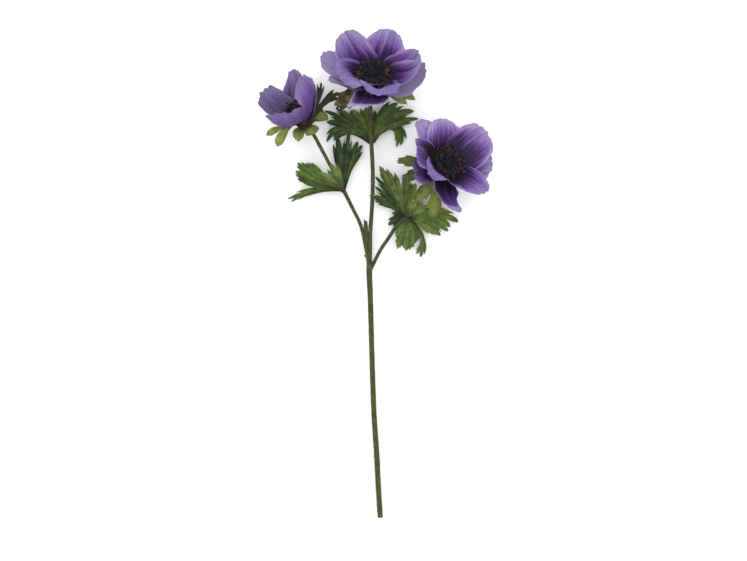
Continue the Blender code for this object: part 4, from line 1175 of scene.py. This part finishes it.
def bract_shapes(blade, whorl, look, seed):
    """Outline and midrib of a bract on the unrolled bowl."""
    middle = radians(blade["turn"])

    def spot(side, along):
        reach = np.array(look["long"] * blade["length"] * along)
        radius, _ = bowl(whorl, np.array(middle), reach, 0.0)
        sideways = 0.5 * look["wide"] * blade["width"] * side + blade["sway"] * along**2
        return flat_places(np.array(middle + sideways / max(float(radius), BOWL_START)), reach)

    rib = [spot(0.0, along) for along in np.linspace(0.02, 0.95, RIB_POINTS)]
    return toothed(BRACT_EDGES[look["edge"]], seed, 0.9, 0.3, spot, spot(0.0, 1.0)), rib


def bract_piece(name, whorl, blades):
    """Ring of bracts under a head, toothed at the tips."""
    looks = [{**BRACT_LOOK_USUAL, **BRACT_LOOK.get((name, key), {})} for key in blades]
    turn = np.linspace(0.0, 2.0 * pi, COLLAR_SIDES, endpoint=False)
    outlines = [list(flat_places(turn, np.full(COLLAR_SIDES, reach))) for reach in (-FOOT_TUCK, COLLAR_REACH)]
    ribs = []
    for (key, blade), look in zip(blades.items(), looks):
        outline, rib = bract_shapes(blade, whorl, look, seed_of(name + key))
        outlines.append(outline)
        ribs.append(rib)
    points, faces = fine_triangulate(outlines, ribs, BRACT_SPACING)
    hole = 0.98 * (BOWL_START - FOOT_TUCK)
    faces = [face for face in faces if np.linalg.norm(points[list(face)].mean(axis=0)) > hole]
    flat, faces, rim = tidy_flat(points, faces)
    away, along, tip, _, nearest = rib_places(flat, ribs)
    turn = np.arctan2(flat[:, 1], flat[:, 0])
    reach = np.linalg.norm(flat, axis=1) - BOWL_START
    crease = BRACT_CREASE * np.minimum(away / CREASE_WIDTH, 1.0) * smooth_step(reach / 6.0) - BRACT_DROP
    frame = head_frame(HEADS[name])
    middle = bowl_points(whorl, turn, reach, crease, frame)
    ahead = bowl_points(whorl, turn, reach + SLOPE_STEP, crease, frame) - middle
    across = bowl_points(whorl, turn + SLOPE_STEP / BOWL_START, reach, crease, frame) - middle
    attributes = {"away": away, "along": along, "tip": tip, "reach": reach, "collar": 1.0, "seed": 5.0}
    for label in ("tone", "olive", "shade"):
        attributes[label] = np.array([look[label] for look in looks])[nearest.astype(int)]
    add_green(f"{name}_bracts", middle, np.cross(ahead, across), faces, rim, flat, 3.0, attributes)


# ---------------------------------------------------------------- stems


def stem_piece(name, knots, head, bottom, tape_pitch):
    """Round stem bound with spiral tape, slightly uneven."""
    coarse = np.array(stem_line(knots, head, bottom, STEM_SPAN_STEPS))
    gone = np.concatenate([[0.0], np.cumsum(np.linalg.norm(np.diff(coarse[:, :3], axis=0), axis=1))])
    count = int(gone[-1] / STEM_STEP)
    places = np.linspace(0.0, gone[-1], count + 1)
    line = np.column_stack([np.interp(places, gone, coarse[:, axis]) for axis in range(4)])
    seed = seed_of(name)
    points, lengths, arounds = [], [], []
    for place, knot, step, outward in round_points(line, STEM_SIDES):
        turn = 2.0 * pi * step / STEM_SIDES
        length = places[place]
        wrap = (length / tape_pitch + turn / (2.0 * pi)) % 1.0
        ridge = TAPE_RIDGE * (1.0 - wrap) ** 6 - TAPE_SLOPE * wrap
        lump = 0.05 * np.sin(0.31 * length + 2.0 * turn + seed) + 0.04 * np.sin(0.9 * length - turn)
        points.append(knot[:3] + (knot[3] * (1.0 + 0.3 * lump) + ridge) * outward)
        lengths.append(length)
        arounds.append(step / STEM_SIDES)
    faces = tube_faces(count + 1, STEM_SIDES)
    for knots in TAPE_ENDS.get(name, ()):
        bit = np.array(curve_points(knots, TAPE_SPAN_STEPS))
        bit_points, bit_faces = thin_tube(bit[:, :3], bit[:, 3], TAPE_SIDES)
        faces += [tuple(len(points) + corner for corner in face) for face in bit_faces]
        points += bit_points
        lengths += list(np.repeat(bit[:, 1], TAPE_SIDES))
        arounds += list(np.tile(np.arange(TAPE_SIDES) / TAPE_SIDES, len(bit)))
    lengths = np.array(lengths)
    arounds = np.array(arounds)
    attributes = {"wrap": lengths / tape_pitch + arounds, "length": lengths, "seed": seed % SEED_RANGE}
    plan = np.column_stack([np.cos(2.0 * pi * arounds), lengths / 10.0])
    add_piece(name, points, faces, ["stem"], attributes, {"plan": plan})


# ---------------------------------------------------------------- materials


class Wire:
    """Output of a shader node, which can be added, subtracted and multiplied."""

    def __init__(self, nodes, socket):
        self.nodes = nodes
        self.socket = socket

    def __add__(self, other):
        return self.nodes.math("ADD", self, other)

    def __sub__(self, other):
        return self.nodes.math("SUBTRACT", self, other)

    def __mul__(self, other):
        return self.nodes.math("MULTIPLY", self, other)


class Nodes:
    """Small helper that builds a shader's nodes."""

    def __init__(self, name):
        self.material = bpy.data.materials.new(name)
        self.material.use_nodes = True
        self.tree = self.material.node_tree
        self.shader = self.tree.nodes["Principled BSDF"]

    def put(self, socket, value):
        if isinstance(value, Wire):
            self.tree.links.new(value.socket, socket)
        else:
            socket.default_value = value

    def add(self, kind, output, inputs=(), **settings):
        """New node with its settings and inputs; gives one of its outputs."""
        node = self.tree.nodes.new("ShaderNode" + kind)
        for label, value in settings.items():
            setattr(node, label, value)
        for label, value in inputs:
            self.put(node.inputs[label], value)
        return Wire(self, node.outputs[output])

    def attribute(self, name):
        return self.add("Attribute", "Fac", attribute_name=name)

    def math(self, operation, a, b=0.0):
        return self.add("Math", 0, ((0, a), (1, b)), operation=operation)

    def ease(self, value, low, high, out_low=0.0, out_high=1.0):
        numbers = (("From Min", low), ("From Max", high), ("To Min", out_low), ("To Max", out_high))
        return self.add("MapRange", 0, (("Value", value), *numbers), interpolation_type="SMOOTHSTEP")

    def parts(self, name):
        """Both numbers of a UV layer."""
        layer = self.add("UVMap", "UV", uv_map=name)
        return [self.add("SeparateXYZ", place, ((0, layer),)) for place in (0, 1)]

    def vector(self, x, y, z):
        return self.add("CombineXYZ", 0, ((0, x), (1, y), (2, z)))

    def here(self):
        """Place of a point on its object."""
        return self.add("TexCoord", "Object")

    def noise(self, vector, scale, detail=3.0, rough=0.55):
        numbers = (("Scale", scale), ("Detail", detail), ("Roughness", rough))
        return self.add("TexNoise", "Fac", (("Vector", vector), *numbers))

    def ramp(self, value, stops):
        node = self.tree.nodes.new("ShaderNodeValToRGB")
        ramp = node.color_ramp
        while len(ramp.elements) > 1:
            ramp.elements.remove(ramp.elements[-1])
        ramp.elements[0].position = stops[0][0]
        ramp.elements[0].color = (*stops[0][1], 1.0)
        for place, colour in stops[1:]:
            element = ramp.elements.new(place)
            element.color = (*colour, 1.0)
        self.put(node.inputs[0], value)
        return Wire(self, node.outputs[0])

    def mix(self, share, first, second, how="MIX"):
        """First colour turned into the second as far as share says."""
        first, second = ((*value, 1.0) if isinstance(value, tuple) else value for value in (first, second))
        inputs = ((0, share), (6, first), (7, second))
        return self.add("Mix", 2, inputs, data_type="RGBA", blend_type=how, clamp_factor=True)

    def tint(self, colour, by, share=None):
        """Colour multiplied by a colour or a wire, all of it or as far as share says."""
        by = self.vector(by, by, by) if isinstance(by, Wire) else by
        tinted = self.mix(1.0, colour, by, "MULTIPLY")
        return tinted if share is None else self.mix(share, colour, tinted)

    def bump(self, height, strength, distance):
        return self.add("Bump", 0, (("Height", height), ("Strength", strength), ("Distance", distance)))

    def finish(self, colour, roughness, normal, sheen, specular):
        self.put(self.shader.inputs["Base Color"], colour)
        self.put(self.shader.inputs["Roughness"], roughness)
        if normal is not None:
            self.put(self.shader.inputs["Normal"], normal)
        self.put(self.shader.inputs["Sheen Weight"], sheen)
        self.put(self.shader.inputs["Specular IOR Level"], specular)
        return self.material


def petal_material():
    """Violet petal: pale claw, plum heart, lavender rim, streaked with darker veins."""
    n = Nodes("petal_look")
    u, v = n.parts("place")
    plan = n.parts("plan")
    seed = n.attribute("seed")
    inside = n.attribute("inside")

    def streaks(across, along, detail=3.0, rough=0.55):
        return n.noise(n.vector(u * across, v * along, seed), 1.0, detail, rough)

    broad = streaks(5.5, 0.9, 2.0)
    streak = streaks(17.0, 1.3, 3.0, 0.65)
    fine = streaks(60.0, 3.0, 2.0, 0.6)
    patch = streaks(4.0, 1.6)
    vein = streaks(30.0, 3.2, 3.0, 0.65)
    grain = n.noise(n.vector(*plan, seed), 70.0, 3.0, 0.7)
    weave = n.noise(n.vector(*plan, 0.0), 190.0, 2.0, 0.7)
    push = (broad - 0.5) * 0.5 + (streak - 0.5) * 0.64 + (fine - 0.5) * 0.46
    edge = n.math("ABSOLUTE", u - 0.5) * 2.0
    margin = n.ease(edge, 0.55, 1.0, 0.0, 0.22)
    place = v + push * n.ease(v, 0.02, 0.4, 0.25, 1.0) + margin * n.ease(v, 0.2, 0.6) + n.attribute("shift")
    colour = n.mix(inside, n.ramp(place + 0.02, PETAL_OUTER), n.ramp(place, PETAL_INNER))
    colour = n.tint(colour, MAUVE, n.ease(patch, 0.42, 0.72) * n.attribute("blush"))
    colour = n.tint(colour, PETAL_VEIN, n.ease(vein, 0.56, 0.74) * n.ease(v, 0.98, 0.5, 0.0, 0.66))
    colour = n.mix(n.ease(vein, 0.44, 0.30) * n.ease(v, 0.35, 0.9, 0.0, 0.2), colour, PETAL_LIGHT)
    rim = n.math("MAXIMUM", n.ease(v, 0.955, 1.0), n.ease(edge, 0.93, 1.0) * 0.9)
    colour = n.mix(rim * n.ease(v, 0.25, 0.5, 0.0, 0.75), colour, PETAL_RIM)
    colour = n.tint(colour, PETAL_SHADE, n.attribute("dark"))
    grey = n.attribute("grey")
    colour = n.mix(grey, colour, n.mix(0.75, colour, PETAL_GREY))
    colour = n.tint(colour, n.ease(vein, 0.3, 0.7, 1.3, 0.72), grey)
    band = n.attribute("band")
    hem = n.attribute("hem")
    banded = n.ease(v + push * 0.15, band, band + 0.06)
    hemmed = n.ease(edge + push * 0.15, hem, hem + 0.08) * n.ease(v, 0.25, 0.5)
    pale = n.mix(n.attribute("pale"), n.ramp(push * 0.9 + 0.5, PETAL_BAND), PETAL_PALE)
    colour = n.mix(n.math("MAXIMUM", banded, hemmed), colour, pale)
    gold = n.attribute("gold")
    golden = n.ease(v + push * 0.25, gold - 0.1, gold + 0.02, 0.6, 0.0) * n.ease(edge, 0.3, 0.7, 1.0, 0.0)
    colour = n.mix(golden * (inside * n.ease(gold, 0.0, 0.1)), colour, CLAW_GOLD)
    colour = n.tint(colour, n.ease(grain, 0.25, 0.75, 0.74, 1.24))
    height = fine * 0.9 + grain * 0.5 + weave * 0.25
    return n.finish(colour, n.ease(grain, 0.2, 0.8, 0.62, 0.85), n.bump(height, 0.55, 0.0006), 0.03, 0.06)


def leaf_material():
    """Green leaf with pale midribs, chevron veins, mottling and yellow-olive young parts, with painted shade
    and fold light.
    """
    n = Nodes("leaf_look")
    place = n.vector(*n.parts("plan"), n.attribute("seed"))
    away = n.attribute("away")
    tone = n.attribute("tone")
    mottle = n.noise(place, 6.0, 4.0, 0.6)
    small = n.noise(place, 28.0, 4.0, 0.65)
    grain = n.noise(place, 120.0, 2.0, 0.7)
    mixed = mottle * 0.6 + small * 0.4
    green = tone + n.ease(mottle, 0.35, 0.65, -0.16, 0.16)
    green = n.mix(green, n.ramp(mixed, LEAF_DARK), n.ramp(mixed, LEAF_LIGHT))
    young = n.attribute("olive") * n.ease(small, 0.2, 0.7, 0.75, 1.1)
    colour = n.mix(young, green, n.ramp(mixed, LEAF_OLIVE))
    wave = n.math("SINE", (n.attribute("along") - away * 1.15) * 2.3)
    chevron = n.ease(wave, 0.55, 1.0) * n.ease(away, 0.2, 4.5, 0.5, 0.12)
    vein = n.math("MAXIMUM", chevron, n.ease(away, 0.0, 0.42, 0.62, 0.0))
    colour = n.mix(vein, colour, n.mix(0.45, colour, LEAF_VEIN))
    # Painted shade in the bands between the chevron veins, off the midrib.
    colour = n.tint(colour, LEAF_VEIN_BAND_SHADE, n.ease(wave, -1.0, -0.2, 0.25, 0.0) * n.ease(away, 0.1, 1.0))
    # Painted light and shade of a fold: one side of each lobe's midrib lighter, the other darker.
    colour = n.tint(colour, n.ease(n.attribute("hand"), -1.0, 1.0, 1.22, 0.78))
    # Painted shade between the lobes, far from the midribs.
    between = n.ease(away + n.ease(small, 0.3, 0.7, -0.8, 0.8), 1.6, 4.2, 0.0, 0.55)
    colour = n.tint(colour, LEAF_LOBE_GAP_SHADE, between)
    colour = n.mix(n.ease(n.attribute("edge"), 0.45, 1.0) * 0.35, colour, LEAF_RIM)
    colour = n.mix(n.ease(n.attribute("inside"), 0.4, 0.6, 0.5, 0.0) * tone, colour, LEAF_UNDER)
    # Painted shade near the node, where the leaves meet, with a ragged edge.
    reach = n.attribute("reach") + n.ease(small, 0.3, 0.7, -2.5, 2.5)
    colour = n.mix(n.ease(reach, 1.0, 15.0, 0.9, 0.0), colour, NODE_SHADE_AND_TIP_DARK)
    colour = n.mix(n.attribute("shade") * n.ease(mottle, 0.42, 0.6, 0.2, 1.4), colour, COLLAR)
    collar = n.attribute("collar")
    colour = n.mix(n.ease(reach, 2.0, 13.0, 0.95, 0.0) * collar, colour, COLLAR)
    # The bracts' own dark tips, in the same near-black as the painted shade at the node.
    colour = n.mix(n.ease(n.attribute("tip"), 0.86, 1.0, 0.0, 0.45) * collar, colour, NODE_SHADE_AND_TIP_DARK)
    colour = n.tint(colour, n.ease(grain, 0.2, 0.8, 0.82, 1.16))
    height = small * 0.9 - vein * 0.8 + grain * 0.35
    return n.finish(colour, n.ease(small, 0.2, 0.8, 0.5, 0.72), n.bump(height, 0.6, 0.0007), 0.02, 0.1)


def receptacle_material():
    """Olive receptacle under the petals."""
    n = Nodes("receptacle_look")
    grain = n.noise(n.here(), 2200.0, 2.0)
    colour = n.ramp(n.noise(n.here(), 450.0, 4.0), RECEPTACLE)
    return n.finish(colour, n.ease(grain, 0.2, 0.8, 0.6, 0.8), n.bump(grain, 0.4, 0.0004), 0.0, 0.1)


def centre_material(name, rough, scale, stops):
    """Dark material of a seed cone, filament or anther."""
    n = Nodes(name + "_look")
    grain = n.noise(n.here(), scale * 5.0, 2.0)
    colour = n.ramp(n.noise(n.here(), scale, 3.0, 0.6), stops)
    rough = n.ease(grain, 0.2, 0.8, rough - 0.1, rough + 0.08)
    return n.finish(colour, rough, n.bump(grain, 0.5, 0.0003), 0.0, 0.06)


def stem_material():
    """Olive stem wrapped in thin tape: a fine lapped edge each turn, streaks and small marks."""
    n = Nodes("stem_look")
    around, up = n.parts("plan")
    seed = n.attribute("seed")
    streak = n.noise(n.vector(around * 2.2, up * 0.35, seed), 2.0, 4.0, 0.6)
    blotch = n.noise(n.vector(around, up, seed), 0.55, 4.0, 0.6)
    grain = n.noise(n.vector(around * 2.5, up * 3.0, seed), 9.0, 3.0, 0.7)
    mark = n.noise(n.vector(around * 1.2, n.attribute("length") * 0.16, seed), 1.0, 2.0)
    lap = n.math("FRACT", n.attribute("wrap"))
    line = n.ease(lap, 0.0, 0.10, 0.55, 0.0)
    colour = n.tint(n.ramp(streak * 0.5 + blotch * 0.5, STEM_COLOURS), TAPE_LINE, line)
    colour = n.mix(n.ease(lap, 0.86, 1.0, 0.0, 0.22), colour, TAPE_LIGHT)
    colour = n.tint(colour, n.ease(grain, 0.2, 0.8, 0.8, 1.18))
    colour = n.mix(n.ease(mark, 0.66, 0.74, 0.0, 0.45), colour, TAPE_MARK)
    height = grain * 0.6 + streak * 0.6 - line
    return n.finish(colour, n.ease(grain, 0.2, 0.8, 0.5, 0.7), n.bump(height, 0.6, 0.0005), 0.0, 0.12)


def make_looks():
    """Every material, by name."""
    MATERIAL["petal"] = petal_material()
    MATERIAL["leaf"] = leaf_material()
    MATERIAL["receptacle"] = receptacle_material()
    MATERIAL["stem"] = stem_material()
    for name, (rough, scale, stops) in CENTRE_LOOKS.items():
        MATERIAL[name] = centre_material(name, rough, scale, stops)


# ---------------------------------------------------------------- stage


def make_floor():
    """Plain pale floor that the spray lies on."""
    mesh = bpy.data.meshes.new("floor")
    corners = [(x * FLOOR_HALF, y * FLOOR_HALF, 0.0) for x, y in ((-1, -1), (1, -1), (1, 1), (-1, 1))]
    mesh.from_pydata(corners, [], [(0, 1, 2, 3)])
    mesh.materials.append(Nodes("floor_look").finish(FLOOR_COLOUR, 0.9, None, 0.0, 0.1))
    floor = bpy.data.objects.new("floor", mesh)
    bpy.context.collection.objects.link(floor)


def make_light(name, energy, size, place):
    """Soft square light aimed at the middle of the spray."""
    data = bpy.data.lights.new(name, "AREA")
    data.energy = energy
    data.size = size
    light = bpy.data.objects.new(name, data)
    light.location = place
    light.rotation_euler = (-Vector(place)).to_track_quat("-Z", "Y").to_euler()
    bpy.context.collection.objects.link(light)


def make_stage():
    """Floor, soft light and the camera that looks straight down."""
    make_floor()
    world = bpy.data.worlds.new("studio")
    world.use_nodes = True
    background = world.node_tree.nodes["Background"]
    background.inputs["Color"].default_value = (1.0, 1.0, 1.0, 1.0)
    background.inputs["Strength"].default_value = WORLD_STRENGTH
    for light in LIGHTS:
        make_light(*light)
    data = bpy.data.cameras.new("camera")
    data.lens = CAMERA_LENS
    data.sensor_width = 36.0
    data.clip_end = 20.0
    camera = bpy.data.objects.new("camera", data)
    camera.location = MM * (SHIFT + (0.0, 0.0, CAMERA_HEIGHT))
    bpy.context.collection.objects.link(camera)
    scene = bpy.context.scene
    scene.world = world
    scene.camera = camera
    scene.view_settings.view_transform = "Standard"
    scene.view_settings.look = "None"
    scene.view_settings.exposure = 0.0
    scene.view_settings.gamma = 1.0


def place_shift(bottom):
    """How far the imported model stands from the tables' origin, found from the main stem."""
    line = stem_line(MAIN_STEM, "top", bottom, SOLID_STEM_STEPS)
    points = [knot[:3] + knot[3] * outward for _, knot, _, outward in round_points(line, SOLID_STEM_SIDES)]
    low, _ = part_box("main_stem")
    return np.array(low) / MM - np.array(points).min(axis=0)


def main():
    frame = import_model()
    heads = {}
    for head in HEADS:
        start = 0.0
        heads[head] = []
        for part in FOCUS:
            whorl, blades, start = whorl_blades(head, part, start)
            heads[head].append((whorl, blades))
    bottoms = {head: parts[2][0]["seat"] - NECK_TAIL for head, parts in heads.items()}
    SHIFT[:] = place_shift(bottoms["top"])
    make_looks()
    for head, parts in heads.items():
        for whorl, blades in parts[:2]:
            for key, blade in blades.items():
                petal_piece(head, key, blade, whorl)
        bract_piece(head, *parts[2])
        cone_piece(head, bottoms[head])
        stamen_piece(head)
    for name, (knots, head, tape_pitch) in STEMS.items():
        stem_piece(name, knots, head, bottoms[head], tape_pitch)
    for (whorl, name), leaf in LEAVES.items():
        leaf_piece(whorl, name, leaf)
    make_stage()


main()
